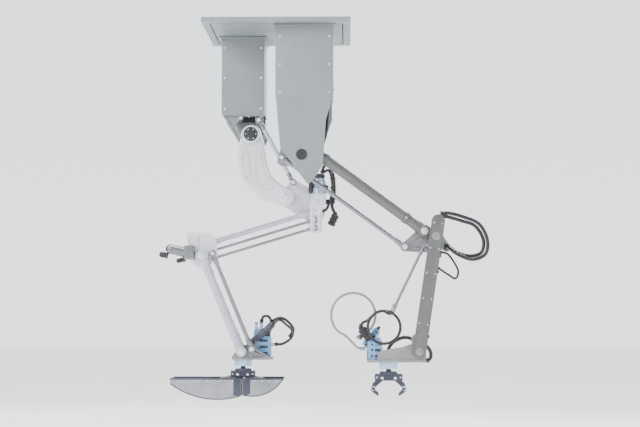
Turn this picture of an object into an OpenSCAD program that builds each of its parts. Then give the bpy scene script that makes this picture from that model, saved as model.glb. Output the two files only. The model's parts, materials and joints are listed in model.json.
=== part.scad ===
// Ceiling-hung twin-arm pick robot. Two jointed parallelogram arms hang from one plate.
// Origin: centre of the ceiling plate's top face. +Z up, +X to the right, +Y to the rear.
// The front arm works in the plane y = front_y, the rear arm in the plane y = rear_y.

/* [Ceiling plate] */
// Width of the ceiling plate
plate_w = 460; // [420:5:520]
// Depth of the ceiling plate
plate_d = 440; // [420:5:480]
// Thickness of the ceiling plate
plate_t = 15; // [10:1:20]
// Spacing of the ceiling bolts along X
bolt_x = 400; // [360:5:400]
// Spacing of the ceiling bolts along Y
bolt_y = 360; // [340:5:360]
// Diameter of the ceiling bolt holes
bolt_d = 13; // [9:0.5:14]

/* [Front arm] */
// Length of the front upper arm between its pivots
front_upper_len = 470; // [450:5:480]
// Slope of the front upper arm below the horizontal
front_upper_deg = 36.1; // [34:0.1:38]
// Length of the front forearm between its pivots
front_fore_len = 355; // [340:5:365]
// Lean of the front forearm from the vertical
front_fore_deg = 8.5; // [7:0.1:10]
// Diameter of the front upper arm's tube
front_tube_d = 32; // [28:1:34]
// Width of the front forearm's housing
front_fore_w = 40; // [34:1:42]

/* [Rear arm] */
// Length of the rear upper arm between its pivots
rear_upper_len = 231; // [225:1:236]
// Slope of the rear upper arm below the horizontal
rear_upper_deg = 61; // [59:0.5:63]
// Length of the rear middle link between its pivots
rear_middle_len = 362; // [350:2:370]
// Slope of the rear middle link below the horizontal
rear_middle_deg = 16.7; // [15:0.1:18]
// Length of the rear forearm between its pivots
rear_fore_len = 330; // [320:2:340]
// Lean of the rear forearm from the vertical
rear_fore_deg = 22.4; // [21:0.1:24]
// Diameter of the rear forearm's tube
rear_tube_d = 30; // [26:1:32]

/* [Grippers] */
// Depth of the rear scoop jaws along Y
scoop_d = 120; // [100:5:130]
// Thickness of the scoop's sheet
scoop_t = 2.5; // [2:0.5:4]

/* [Hidden] */
$fn = 48;

front_y = -100;
rear_y = 100;
run = 0.05;         // radial running clearance on every pivot pin
sheet = 4;          // thickness of the column's sheet
pin_r = 6;          // radius of the pivot pins
rod_pin_r = 4;      // radius of the pins in the tie rods' ends
rod_end_r = 11;     // radius of a tie rod's end ring

// A point at a distance and an angle from another, all in the XZ plane.
function along(p, len, deg) = [p[0] + len * cos(deg), p[1] + len * sin(deg)];

// Front arm, pivots in the XZ plane
front_shoulder = [76, -379];
front_rod_off = [-60, -48];
front_elbow = along(front_shoulder, front_upper_len, -front_upper_deg);
front_fore = front_elbow + [34, -18];
front_wrist = along(front_fore, front_fore_len, -90 - front_fore_deg);
front_tool_x = 345;

// Rear arm, pivots in the XZ plane
rear_shoulder = [-94, -329];
rear_rod_off = [27, 44];
rear_knee = along(rear_shoulder, rear_upper_len, -rear_upper_deg);
rear_hip = rear_knee + [92, -49];          // the middle link's root on the knee block
rear_link_off_a = [3, -28];
rear_link_off_b = [4, -54];
rear_elbow = along(rear_hip, rear_middle_len, 180 + rear_middle_deg);
rear_fore = rear_elbow + [-9, -42];
rear_fore_off = [34, 8];
rear_wrist = along(rear_fore, rear_fore_len, -90 + rear_fore_deg);
rear_tool_x = -117;

// Planes along Y
fa_y = front_y - 46;      // front upper arm and its tie rod
ff_y = front_y - 86;      // front forearm
ft_y = front_y - 40;      // front tool axis
ra_rod_y = rear_y - 36;   // rear upper tie rod
rl_y = rear_y + 8;        // rear middle link
rla_y = rear_y - 12;      // rear middle rod, front
rlb_y = rear_y - 30;      // rear middle rod, back
rf_y = rear_y - 72;       // rear forearm and its rod
rt_y = rear_y - 24;       // rear tool axis

// Heights at the tools
front_foot_z = -1050;
rear_foot_z = -1050;
foot_t = 8;
tool_h = 20;
tool_r = 28;

// ---- shared shapes ----

// Extrudes an outline drawn in XZ from y0 to y1.
module slab(y0, y1) translate([0, y1, 0]) rotate([90, 0, 0]) linear_extrude(y1 - y0) children();

// A round bar along Y at an XZ point.
module ybar(p, y0, y1, r) slab(y0, y1) translate(p) circle(r);

// A round bar between two XZ points at a given y.
module xzbar(p, q, y, r) {
    d = q - p;
    translate([p[0], y, p[1]]) rotate([0, atan2(d[0], d[1]), 0]) cylinder(h = norm(d), r = r);
}

// Outline of two discs joined by their tangents.
module strap(p, rp, q, rq) {
    d = q - p;
    base = atan2(d[1], d[0]);
    open = acos((rp - rq) / norm(d));
    translate(p) circle(rp);
    translate(q) circle(rq);
    polygon([
        along(p, rp, base + open), along(q, rq, base + open),
        along(q, rq, base - open), along(p, rp, base - open)
    ]);
}

// A box given by its lowest and highest corners.
module block(lo, hi) translate(lo) cube(hi - lo);

// Smooth points through a list of points.
function spline_at(p, i, t) =
    let (n = len(p) - 1, a = p[max(i - 1, 0)], b = p[i], c = p[i + 1], d = p[min(i + 2, n)])
    0.5 * ((2 * b) + (c - a) * t + (2 * a - 5 * b + 4 * c - d) * t * t
        + (3 * b - 3 * c + d - a) * t * t * t);
function smooth(p, steps) = [
    for (i = [0 : len(p) - 2], k = [0 : steps - 1]) spline_at(p, i, k / steps), p[len(p) - 1]
];
function unit(v) = v / norm(v);

// A hose of radius r swept along a line of points.
module hose(line, r, sides = 8) {
    n = len(line);
    rings = [for (i = [0 : n - 1])
        let (t = unit(line[min(i + 1, n - 1)] - line[max(i - 1, 0)]),
             u = unit(cross(t, [0, 1, 0.01])), v = cross(u, t))
        for (k = [0 : sides - 1]) line[i] + r * (cos(360 * k / sides) * u + sin(360 * k / sides) * v)];
    walls = [for (i = [0 : n - 2], k = [0 : sides - 1])
        let (a = i * sides + k, b = i * sides + (k + 1) % sides) [a, b, b + sides, a + sides]];
    polyhedron(rings, concat(walls,
        [[for (k = [sides - 1 : -1 : 0]) k]], [[for (k = [0 : sides - 1]) (n - 1) * sides + k]]));
}

// Points on an arc in XZ about a centre, drifting in y by dy.
function arc(c, y, r, a0, a1, dy, steps) = [
    for (i = [0 : steps]) let (a = a0 + (a1 - a0) * i / steps)
        [c[0] + r * cos(a), y + dy * i / steps, c[1] + r * sin(a)]
];

// A tie rod with a ring at each end, bored for its pins.
module tie_rod(p, q, y, r, ring_r, bore_r, half) {
    difference() {
        union() {
            xzbar(p, q, y, r);
            for (c = [p, q]) ybar(c, y - half, y + half, ring_r);
        }
        for (c = [p, q]) ybar(c, y - half - 1, y + half + 1, bore_r + run);
    }
}

// A servo motor standing upright: square body, round end bell, side connector.
module upright_motor(x, y, z0, z1, w) {
    block([x - w / 2, y - w / 2, z0], [x + w / 2, y + w / 2, z1 - 25]);
    translate([x, y, z1 - 25]) cylinder(h = 25, r = w / 2 - 2);
    block([x - 9, y + w / 2, z1 - 60], [x + 9, y + w / 2 + 10, z1 - 36]);
}

// ---- base ----

module ceiling_plate() color([0.72, 0.74, 0.73]) difference() {
    block([-plate_w / 2, -plate_d / 2, -plate_t], [plate_w / 2, plate_d / 2, 0]);
    for (x = [-1, 1] * bolt_x / 2, y = [-1, 1] * bolt_y / 2)
        translate([x, y, -plate_t - 1]) cylinder(h = plate_t + 2, d = bolt_d);
}

// Outlines of the columns' top flanges, as [lowest, highest] corners in XY.
front_box = [[-2, front_y - 72], [175, front_y + 88]];
rear_box = [[-187, rear_y - 60], [-48, rear_y + 100]];
front_box_z = -240;
rear_box_z = -267;

module column_bolts() color([0.75, 0.75, 0.77])
    for (b = [front_box, rear_box], i = [0, 1], j = [0, 1])
        translate([b[i][0] + (i == 0 ? 22 : -22), b[j][1] + (j == 0 ? 22 : -22), 0])
            translate([0, 0, -plate_t - sheet - 7]) cylinder(h = 7, r = 9, $fn = 6);

// The front column: a sheet box, with its front sheet drawn down into a blunt beak.
module front_column() color([0.70, 0.72, 0.70]) {
    top = -plate_t;
    lo = front_box[0];
    hi = front_box[1];
    difference() {
        block([lo[0], lo[1], front_box_z], [hi[0], hi[1], top]);
        block([lo[0] + sheet, lo[1] + sheet, front_box_z - 1],
              [hi[0] - sheet, hi[1] - sheet, top - sheet]);
    }
    slab(lo[1], lo[1] + sheet) difference() {
        polygon([[-2, front_box_z + 1], [175, front_box_z + 1], [153, -311], [144, -451],
                 [111, -503], [96, -511], [12, -398]]);
        translate(front_plug) circle(11);
    }
}
front_plug = [78, -420];

module front_column_plug() color([0.05, 0.05, 0.06]) {
    y = front_box[0][1];
    ybar(front_plug, y - 3, y, 15);
    ybar(front_plug, y, y + 8, 10.9);
}

// The plate behind the arm that carries the gearbox and the tie rod's fixed pivot.
module front_shoulder_plate() color([0.62, 0.64, 0.64]) {
    difference() {
        slab(front_y + 50, front_y + 62) {
            strap(front_shoulder, 62, front_shoulder + front_rod_off, 18);
            polygon([[2, -300], [171, -300], [171, -215], [2, -215]]);
            polygon([[20, -400], [2, -300], [171, -300], [136, -395]]);
        }
        ybar(front_shoulder, front_y + 40, front_y + 70, 24);
    }
    ybar(front_shoulder + front_rod_off, fa_y + 8, front_y + 50, 9);
    ybar(front_shoulder + front_rod_off, fa_y - 10, fa_y + 8, rod_pin_r);
}

module front_shoulder_motor() color([0.16, 0.17, 0.18])
    upright_motor(front_shoulder[0], front_y + 10, -330, -150, 66);

module front_shoulder_gearbox() color([0.55, 0.56, 0.58]) {
    c = front_shoulder;
    block([c[0] - 42, front_y - 22, c[1] - 42], [c[0] + 42, front_y + 50, c[1] + 49]);
    ybar(c, front_y - 28, front_y - 22, 30);
    ybar(c, fa_y - 14, front_y - 28, 10);
}

module front_column_cable() color([0.05, 0.05, 0.06]) {
    y = front_y - 30;
    hose(smooth([[157, y, -236], [160, y, -270], [158, y, -310], [153, y, -350], [140, y + 12, -385],
                 [118, y + 20, -394]], 4), 5);
    translate([157, y, -240]) cylinder(h = 12, r = 8);
}

// ---- front upper arm ----

module front_upper_arm() color([0.66, 0.67, 0.67]) difference() {
    union() {
        xzbar(front_shoulder, front_elbow, fa_y, front_tube_d / 2);
        ybar(front_shoulder, fa_y - 16, fa_y + 17, 27);
        ybar(front_elbow, fa_y - 17, fa_y + 17, 20);
    }
    ybar(front_shoulder, fa_y - 17, fa_y + 18, 10 + run);
    ybar(front_elbow, fa_y - 18, fa_y + 18, pin_r + run);
}

module front_upper_rod() color([0.68, 0.69, 0.70])
    tie_rod(front_shoulder + front_rod_off, front_elbow + front_rod_off, fa_y, 6.5,
            rod_end_r, rod_pin_r, 6);

// ---- front elbow ----

module front_elbow_plate() color([0.60, 0.61, 0.61]) difference() {
    slab(front_y - 28, front_y - 18) {
        strap(front_elbow, 17, front_elbow + front_rod_off, 13);
        strap(front_elbow, 17, front_fore, 24);
        strap(front_fore, 24, front_fore + [-32, -34], 13);
        strap(front_elbow + front_rod_off, 13, front_fore + [-32, -34], 13);
        polygon([front_elbow, front_fore, front_fore + [-32, -34], front_elbow + front_rod_off]);
        strap(front_fore, 24, front_fore + [36, -32], 12);
    }
    ybar(front_elbow, front_y - 29, front_y - 17, pin_r);
    ybar(front_elbow + front_rod_off, front_y - 29, front_y - 17, rod_pin_r);
    ybar(front_fore, front_y - 29, front_y - 17, 12);
}

// Elbow pins, and the fixed pulley that the wrist belt runs on.
module front_elbow_pins() color([0.80, 0.80, 0.82]) {
    ybar(front_elbow, fa_y - 17.5, front_y - 18, pin_r);
    ybar(front_elbow, fa_y - 21.5, fa_y - 17.5, 11);
    ybar(front_elbow + front_rod_off, fa_y - 7, front_y - 18, rod_pin_r);
    ybar(front_elbow + front_rod_off, fa_y - 11, fa_y - 7, 8);
    pulley(front_fore, 8);
}

// A belt pulley inside the forearm, on a shaft of radius bore_r.
module pulley(p, bore_r) difference() {
    ybar(p, ff_y - 7, ff_y + 7, 10.3);
    ybar(p, ff_y - 9, ff_y + 9, bore_r);
}

module front_elbow_servo() color([0.14, 0.15, 0.16]) {
    ybar(front_fore, front_y - 18, front_y + 20, 23);
    ybar(front_fore, front_y + 20, front_y + 76, 20);
    ybar(front_fore, front_y - 62, front_y - 18, 12);
    ybar(front_fore, ff_y - 8, front_y - 62, 8);
    block([front_fore[0] - 9, front_y + 40, front_fore[1] + 16],
          [front_fore[0] + 9, front_y + 64, front_fore[1] + 34]);
}

// The pair of hoses that loops at the elbow, from the elbow plate into the forearm's top.
module front_elbow_hoses() color([0.05, 0.05, 0.06])
    for (s = [0, 1]) {
        y = ff_y + 2 + 14 * s;
        g = 11 * s;
        hose(smooth([[front_fore[0] + 14, y - 2, front_fore[1] + 68 - g / 2],
                     [front_fore[0] + 36, y - 2, front_fore[1] + 72 - g],
                     [574 - g / 2, y, -614 - g], [622 - g, y, -636 - g / 2], [648 - g, y, -684],
                     [640 - g, y, -728 + g / 2], [600 - g / 2, y, -744 + g],
                     [556, y + 6, -728 + g / 2], [532, y + 22, -708 + g / 2],
                     [front_fore[0] + 36, front_y - 30, front_fore[1] - 32 + g / 2]], 4), 4.5);
    }

// ---- front forearm ----

fore_axis = unit(front_wrist - front_fore);
fore_side = [-fore_axis[1], fore_axis[0]];
front_fore_top = front_fore - 48 * fore_axis;

module front_forearm() color([0.64, 0.65, 0.65]) difference() {
    slab(ff_y - 15, ff_y + 15) strap(front_fore_top, front_fore_w / 2, front_wrist,
                                     front_fore_w / 2);
    slab(ff_y - 11, ff_y + 11) strap(front_fore - 30 * fore_axis, front_fore_w / 2 - 4,
                                     front_wrist, front_fore_w / 2 - 4);
    ybar(front_fore, ff_y - 9, ff_y + 20, 8 + run);
    ybar(front_wrist, ff_y - 9, ff_y + 20, pin_r + run);
}

module front_forearm_cap() color([0.12, 0.12, 0.13]) {
    p = front_fore_top + 6 * fore_side;
    for (s = [0, 1])
        translate([p[0] + 6, ff_y + 14 * s, p[1] + 20 - 5.5 * s]) rotate([0, 82, 0])
            cylinder(h = 16, r = 6.5);
}

// The toothed belt that keeps the wrist level: a closed strap over two equal pulleys.
module front_wrist_belt() color([0.08, 0.08, 0.08]) slab(ff_y - 5, ff_y + 5) difference() {
    strap(front_fore, 12.4, front_wrist, 12.4);
    strap(front_fore, 10.4, front_wrist, 10.4);
}

// A stiff air pipe held by the forearm's clamp; it leans away from the forearm.
pipe_top = [451, -707];
pipe_end = [356, -903];
module front_air_pipe() color([0.40, 0.41, 0.42]) {
    y = ff_y + 8;
    xzbar(pipe_top, pipe_end, y, 4.5);
    translate([pipe_top[0], y, pipe_top[1]]) sphere(5.4);
    xzbar(pipe_top, [466, -701.6], y, 4.5);
    xzbar([458, -704], [469, -700.6], y, 7.5);
    xzbar(pipe_end + [6.5, 13.4], pipe_end, y, 7);
}

module front_forearm_cable() color([0.05, 0.05, 0.06]) {
    y = ff_y + 2;
    hose(smooth([[500.5, y, -722], [524, y, -727], [544, y, -752], [557, y, -780],
                 [549, y, -802], [526, y, -790], [493.5, y, -768]], 4), 3.5);
}

// ---- front wrist ----

module front_wrist_bracket() color([0.62, 0.63, 0.64]) {
    y0 = ff_y + 17;
    difference() {
        slab(y0, y0 + 10) {
            strap(front_wrist, 22, front_wrist + [-8, 38], 15);
            strap(front_wrist, 22, [front_tool_x - 20, front_foot_z + 14], 14);
            polygon([[front_tool_x - 34, front_foot_z + 14], [front_tool_x - 34, front_foot_z],
                     [front_wrist[0] + 22, front_foot_z], front_wrist + [22, 0]]);
        }
        ybar(front_wrist, y0 - 1, y0 + 11, pin_r);
    }
    block([front_tool_x - 66, ft_y - 32, front_foot_z - foot_t],
          [front_wrist[0] + 22, ft_y + 32, front_foot_z]);
}

module front_wrist_pin() color([0.80, 0.80, 0.82]) {
    ybar(front_wrist, ff_y - 8, ff_y + 27, pin_r);
    pulley(front_wrist, pin_r);
}

// Rotary unit that turns the gripper about the vertical tool axis.
module tool_unit(x, y, z) {
    translate([x, y, z - tool_h]) cylinder(h = tool_h, r = tool_r);
    translate([x, y, z + foot_t]) cylinder(h = 22, r = 17);
}

module front_tool_motor() color([0.70, 0.76, 0.82]) difference() {
    tool_unit(front_tool_x, ft_y, front_foot_z - foot_t);
    translate([front_tool_x, ft_y, front_foot_z - foot_t - tool_h - 1])
        cylinder(h = 15, r = 8 + run);
}

module front_valve_block() color([0.62, 0.78, 0.90]) {
    block([283, ft_y - 18, front_foot_z], [325, ft_y + 12, -992]);
    block([296, ft_y - 14, -992], [322, ft_y + 8, -984]);
}

solenoid_tilt = -40;
module front_valve_solenoid() color([0.07, 0.08, 0.10])
    translate([287, ft_y - 3, -986]) rotate([0, solenoid_tilt, 0])
        block([-13, -12, -2], [13, 12, 40]);

module fitting(x, y, z, h = 14, r = 5.5) translate([x, y, z]) cylinder(h = h, r = r);

module front_air_fittings() color([0.10, 0.30, 0.62]) {
    for (y = [-10, 3]) fitting(311, ft_y + y, -984);
    fitting(328, ft_y + 23, front_foot_z, 20);
    fitting(441, ft_y + 22, front_foot_z, 16);
    translate([283, ft_y - 4, -1016]) rotate([0, -90, 0]) cylinder(h = 16, r = 5.5);
}

module front_grey_hose() color([0.62, 0.62, 0.66]) {
    y = ft_y - 4;
    c = [237, -914];
    hose(concat([[267, y, -1016], [258, y, -1016], [246, y, -1010]],
                arc(c, y, 68, 250, -80, 12, 22), [[257, y + 12, -984], [263, y + 10, -985]]), 4);
}

front_ring_c = [331, -951];
module front_black_hose() color([0.05, 0.05, 0.06]) {
    y = ff_y + 8;
    hose(concat(smooth([[355.7, y, -903.6], [353.6, y, -908], [347, y, -909.6], [338, y, -905.6]], 3),
                arc(front_ring_c, y, 50, 94, 500, 30, 28),
                [[279, y + 32, -931], [265, y + 34, -938], [259, y + 35, -950]]), 4.5);
}

module front_wrist_cables() color([0.05, 0.05, 0.06]) {
    y = ft_y;
    hose(smooth([[345, y + 6, -1028], [347, y + 8, -1014], [362, y + 12, -996], [384, y + 14, -985],
                 [403, y + 10, -983], [418, y, -988], [425, y - 10, -994],
                 [427, ff_y + 27, -996]], 3), 7);
    hose(smooth([[450.5, ff_y + 22, -1005], [463, y - 16, -1010], [474, y - 10, -1028],
                 [473, y - 6, -1046], [460, y - 6, -1055]], 4), 4.5);
}

// ---- front gripper ----

front_grip_z = front_foot_z - 2 * foot_t - tool_h;
front_jaw_l = [front_tool_x - 20, front_grip_z - 20];
front_jaw_r = [front_tool_x + 20, front_grip_z - 20];

module gripper_body(x, y, z, w, jaw_dx, jaw_z) {
    translate([x, y, z - 1]) cylinder(h = 13, r = 8);
    translate([x, y, z - 8]) cylinder(h = 7.5, r = 26);
    difference() {
        block([x - w / 2, y - 20, z - 28], [x + w / 2, y + 20, z - 8]);
        for (s = [0, 1]) mirror_x(x, s) block([x + 4, y - 9, z - 29], [x + w / 2 + 1, y + 9, z - 11]);
    }
    for (s = [-1, 1]) ybar([x + s * jaw_dx, jaw_z], y - 20, y + 20, 4);
}

// Its children, mirrored about the plane x = cx when flip is 1.
module mirror_x(cx, flip) translate([cx, 0, 0]) mirror([flip, 0, 0])
    translate([-cx, 0, 0]) children();

module front_gripper_body() color([0.18, 0.20, 0.24])
    gripper_body(front_tool_x, ft_y, front_grip_z, 84, 20, front_jaw_l[1]);

module front_jaw(p, s) difference() {
    union() {
        slab(ft_y - 8, ft_y + 8) strap(p, 8, p + [s * 24, -22], 7);
        slab(ft_y - 16, ft_y + 16) {
            strap(p + [s * 24, -22], 6, p + [s * 30, -38], 4);
            strap(p + [s * 30, -38], 4, p + [s * 12, -52], 2.5);
        }
    }
    ybar(p, ft_y - 9, ft_y + 9, 4 + run);
}
module front_jaw_left() color([0.12, 0.13, 0.16]) front_jaw(front_jaw_l, -1);
module front_jaw_right() color([0.12, 0.13, 0.16]) front_jaw(front_jaw_r, 1);

// ---- rear column and shoulder ----

module rear_column() color([0.70, 0.72, 0.70]) {
    lo = rear_box[0];
    hi = rear_box[1];
    difference() {
        block([lo[0], lo[1], rear_box_z], [hi[0], hi[1], -plate_t]);
        block([lo[0] + sheet, lo[1] + sheet, rear_box_z - 1],
              [hi[0] - sheet, hi[1] - sheet, -plate_t - sheet]);
    }
}

// Bottom bracket: a plate behind the arm, a diagonal gusset and the tie rod's lug in front.
module rear_shoulder_bracket() color([0.66, 0.68, 0.68]) {
    c = rear_shoulder;
    difference() {
        slab(rear_y + 86, rear_y + 94) {
            translate(c) circle(48);
            polygon([[-183, -205], [-183, -276], [-134, -356], [-54, -356], [-52, -300], [-52, -205]]);
        }
        ybar(c, rear_y + 80, rear_y + 99, 20);
    }
    slab(rear_y - 50, rear_y - 44)
        polygon([[-182, rear_box_z], [-182, -276], [-168, -282], [-133, -352], [-127, -350],
                 [-124, -340], [-140, -300], [-116, rear_box_z]]);
    block([-182, rear_y - 60, rear_box_z - 5], [-52, rear_y - 24, rear_box_z]);
    lug = c + rear_rod_off;
    slab(ra_rod_y + 8, ra_rod_y + 16) {
        translate(lug) circle(13);
        polygon([[lug[0] - 13, lug[1]], [lug[0] - 13, rear_box_z], [lug[0] + 13, rear_box_z],
                 [lug[0] + 13, lug[1]]]);
    }
    ybar(lug, ra_rod_y - 9, ra_rod_y + 8, rod_pin_r);
    ybar([-125, -279], rear_y - 56, rear_y - 50, 8);
}

module rear_shoulder_motor() color([0.16, 0.17, 0.18])
    upright_motor(rear_shoulder[0] - 4, rear_y + 56, -285, -130, 58);

module rear_shoulder_gearbox() color([0.55, 0.56, 0.58]) {
    c = rear_shoulder;
    block([c[0] - 38, rear_y + 27, c[1] - 38], [c[0] + 38, rear_y + 86, c[1] + 44]);
    ybar(c, rear_y + 23, rear_y + 27, 28);
    ybar(c, rear_y - 21.5, rear_y + 23, 10);
}

// ---- rear upper arm ----

// A white casting: two rounded lobes at the root, a belly to the lower left, and the knee end.
module rear_arm_outline() {
    s = rear_shoulder;
    lobe_l = s + [-22, -57];
    lobe_r = s + [26, -57];
    belly = s + [6, -126];
    low = s + [52, -176];
    strap(s, 34, s + [2, -60], 33);
    strap(lobe_l, 24, belly, 40);
    strap(lobe_r, 20, belly + [18, 6], 38);
    strap(belly, 40, low, 39);
    strap(low, 39, rear_knee, 30);
}

module rear_upper_arm() color([0.93, 0.94, 0.95]) {
    s = rear_shoulder;
    difference() {
        slab(rear_y - 22, rear_y + 22) rear_arm_outline();
        ybar(s, rear_y - 23, rear_y + 23, 10 + run);
        ybar(rear_knee, rear_y - 23, rear_y + 23, pin_r + run);
    }
}

module rear_shoulder_cap() color([0.10, 0.11, 0.14]) {
    c = rear_shoulder;
    ybar(c, rear_y - 30, rear_y - 22, 27);
    ybar(c, rear_y - 36, rear_y - 30, 19);
    for (a = [30 : 60 : 330]) ybar(along(c, 22, a), rear_y - 33, rear_y - 30, 3.2);
}

module rear_upper_rod() color([0.76, 0.77, 0.84])
    tie_rod(rear_shoulder + rear_rod_off, rear_knee + rear_rod_off, ra_rod_y, 6,
            rod_end_r, rod_pin_r, 6);

// ---- rear knee ----

module rear_knee_block() color([0.92, 0.93, 0.94]) difference() {
    union() {
        slab(rear_y + 24, rear_y + 38) {
            strap(rear_knee, 28, rear_hip, 36);
            strap(rear_knee + rear_rod_off, 14, rear_hip + [14, 36], 20);
            strap(rear_knee + rear_rod_off, 14, rear_knee, 20);
            strap(rear_hip, 32, rear_hip + rear_link_off_b, 16);
        }
        block([rear_hip[0] - 6, rear_y - 40, rear_hip[1] + 22],
              [rear_hip[0] + 40, rear_y + 38, rear_hip[1] + 56]);
        slab(rear_y - 46, rear_y - 38) strap(rear_hip + [14, 34], 22, rear_hip + [8, 6], 20);
        slab(rear_y - 46, rear_y - 38)
            for (dx = [-4, 20]) strap(rear_hip + [dx, 6], 8, rear_hip + [dx, -66], 7);
    }
    ybar(rear_knee, rear_y + 23, rear_y + 39, pin_r);
    ybar(rear_knee + rear_rod_off, rear_y + 23, rear_y + 39, rod_pin_r);
    for (o = [[0, 0], rear_link_off_a, rear_link_off_b])
        ybar(rear_hip + o, rear_y + 23, rear_y + 39, rod_pin_r);
}

module rear_knee_pins() color([0.80, 0.80, 0.82]) {
    ybar(rear_knee, rear_y - 23, rear_y + 38, pin_r);
    ybar(rear_knee, rear_y - 29, rear_y - 23, 12);
    ybar(rear_knee + rear_rod_off, ra_rod_y - 8, rear_y + 38, rod_pin_r);
    ybar(rear_knee + rear_rod_off, ra_rod_y - 12, ra_rod_y - 8, 7);
    ybar(rear_hip, rl_y - 12, rear_y + 38, rod_pin_r);
    ybar(rear_hip + rear_link_off_a, rla_y - 7, rear_y + 38, rod_pin_r);
    ybar(rear_hip + rear_link_off_b, rlb_y - 7, rear_y + 38, rod_pin_r);
}

module rear_knee_motor() color([0.70, 0.80, 0.90]) {
    x = rear_hip[0] + 18;
    z = rear_hip[1] + 56;
    translate([x, rear_y, z]) cylinder(h = 14, r = 23.5);
    translate([x, rear_y, z + 14]) cylinder(h = 40, r = 22);
    translate([x, rear_y, z + 54]) cylinder(h = 14, r = 18);
    block([x - 34, rear_y - 14, z + 4], [x - 20, rear_y + 14, z + 44]);
}

module rear_knee_cable() color([0.05, 0.05, 0.06]) {
    z = rear_hip[1];
    hose(smooth([[138, rear_y - 6, z + 124], [141, rear_y - 9, z + 142], [152, rear_y - 12, z + 153],
                 [166, rear_y - 14, z + 140],
                 [173, rear_y - 14, z + 100], [175, rear_y - 14, z + 60], [170, rear_y - 12, z + 18],
                 [178, rear_y - 10, z - 4], [182, rear_y - 10, z - 12]], 4), 5.5);
    translate([182, rear_y - 10, z - 10]) rotate([0, 205, 0]) cylinder(h = 42, r = 10);
    block([150, rear_y - 20, z + 24], [168, rear_y, z + 38]);
}

// ---- rear middle link ----

module rear_middle_link() color([0.88, 0.89, 0.91])
    tie_rod(rear_hip, rear_elbow, rl_y, 8.5, 14, rod_pin_r, 11);
module rear_middle_rod_front() color([0.80, 0.81, 0.86])
    tie_rod(rear_hip + rear_link_off_a, rear_elbow + rear_link_off_a, rla_y, 4.5, 10, rod_pin_r, 6);
module rear_middle_rod_back() color([0.80, 0.81, 0.86])
    tie_rod(rear_hip + rear_link_off_b, rear_elbow + rear_link_off_b, rlb_y, 4.5, 10, rod_pin_r, 6);

// ---- rear elbow ----

module rear_elbow_block() color([0.93, 0.94, 0.95]) difference() {
    slab(rear_y - 52, rear_y - 40)
        polygon([[-300, -648], [-222, -652], [-205, -676], [-196, -724], [-226, -760],
                 [-262, -764], [-284, -742]]);
    for (o = [[0, 0], rear_link_off_a, rear_link_off_b])
        ybar(rear_elbow + o, rear_y - 53, rear_y - 39, rod_pin_r);
    ybar(rear_fore, rear_y - 53, rear_y - 39, pin_r);
    ybar(rear_fore + rear_fore_off, rear_y - 53, rear_y - 39, rod_pin_r);
}

module rear_elbow_pins() color([0.80, 0.80, 0.82]) {
    ybar(rear_elbow, rear_y - 52, rl_y + 12, rod_pin_r);
    ybar(rear_elbow + rear_link_off_a, rear_y - 52, rla_y + 7, rod_pin_r);
    ybar(rear_elbow + rear_link_off_b, rear_y - 52, rlb_y + 7, rod_pin_r);
    ybar(rear_fore, rf_y - 17, rear_y - 40, pin_r);
    ybar(rear_fore, rf_y - 21, rf_y - 17, 11);
    ybar(rear_fore + rear_fore_off, rf_y - 8, rear_y - 40, rod_pin_r);
}

// Worm-drive servo lying left of the forearm's root, with its two plugs.
module rear_elbow_servo() color([0.50, 0.52, 0.55]) {
    z = rear_fore[1] + 12;
    block([-302, rf_y - 18, z - 22], [-272, rear_y - 52, z + 20]);
    translate([-302, rf_y, z]) rotate([0, -78, 0]) cylinder(h = 56, r = 15);
    translate([-356, rf_y, z - 11.5]) rotate([0, -78, 0]) cylinder(h = 28, r = 9);
    translate([-300, rf_y, z - 22]) rotate([0, -104, 0]) cylinder(h = 30, r = 7);
}

module rear_forearm() color([0.86, 0.87, 0.90]) difference() {
    union() {
        xzbar(rear_fore, rear_wrist, rf_y, rear_tube_d / 2);
        ybar(rear_fore, rf_y - 16, rf_y + 16, 20);
        ybar(rear_wrist, rf_y - 16, rf_y + 16, 17);
    }
    for (c = [rear_fore, rear_wrist]) ybar(c, rf_y - 17, rf_y + 17, pin_r + run);
}

module rear_forearm_rod() color([0.76, 0.77, 0.84])
    tie_rod(rear_fore + rear_fore_off, rear_wrist + rear_fore_off, rf_y, 6.5, rod_end_r,
            rod_pin_r, 7);

// ---- rear wrist ----

module rear_wrist_bracket() color([0.66, 0.70, 0.76]) {
    y0 = rf_y + 20;
    difference() {
        slab(y0, y0 + 10) {
            strap(rear_wrist, 20, rear_wrist + rear_fore_off, 14);
            polygon([rear_wrist + [-20, 0], [rear_tool_x - 34, rear_foot_z],
                     [rear_tool_x + 90, rear_foot_z], rear_wrist + rear_fore_off + [14, 0]]);
        }
        ybar(rear_wrist, y0 - 1, y0 + 11, pin_r);
        ybar(rear_wrist + rear_fore_off, y0 - 1, y0 + 11, rod_pin_r);
    }
    block([rear_tool_x - 34, rt_y - 34, rear_foot_z - foot_t],
          [rear_tool_x + 96, rt_y + 40, rear_foot_z]);
}

module rear_wrist_pins() color([0.80, 0.80, 0.82]) {
    ybar(rear_wrist, rf_y - 17, rf_y + 30, pin_r);
    ybar(rear_wrist, rf_y - 21, rf_y - 17, 11);
    ybar(rear_wrist + rear_fore_off, rf_y - 8, rf_y + 30, rod_pin_r);
    ybar(rear_wrist + rear_fore_off, rf_y - 12, rf_y - 8, 7);
}

module rear_tool_motor() color([0.70, 0.76, 0.82]) difference() {
    tool_unit(rear_tool_x, rt_y, rear_foot_z - foot_t);
    translate([rear_tool_x, rt_y, rear_foot_z - foot_t - tool_h - 1]) cylinder(h = 15, r = 8 + run);
}

module rear_valve_block() color([0.40, 0.60, 0.84]) {
    block([-88, rt_y + 6, rear_foot_z], [-28, rt_y + 36, -985]);
    block([-82, rt_y + 10, -985], [-52, rt_y + 32, -962]);
}

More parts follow.
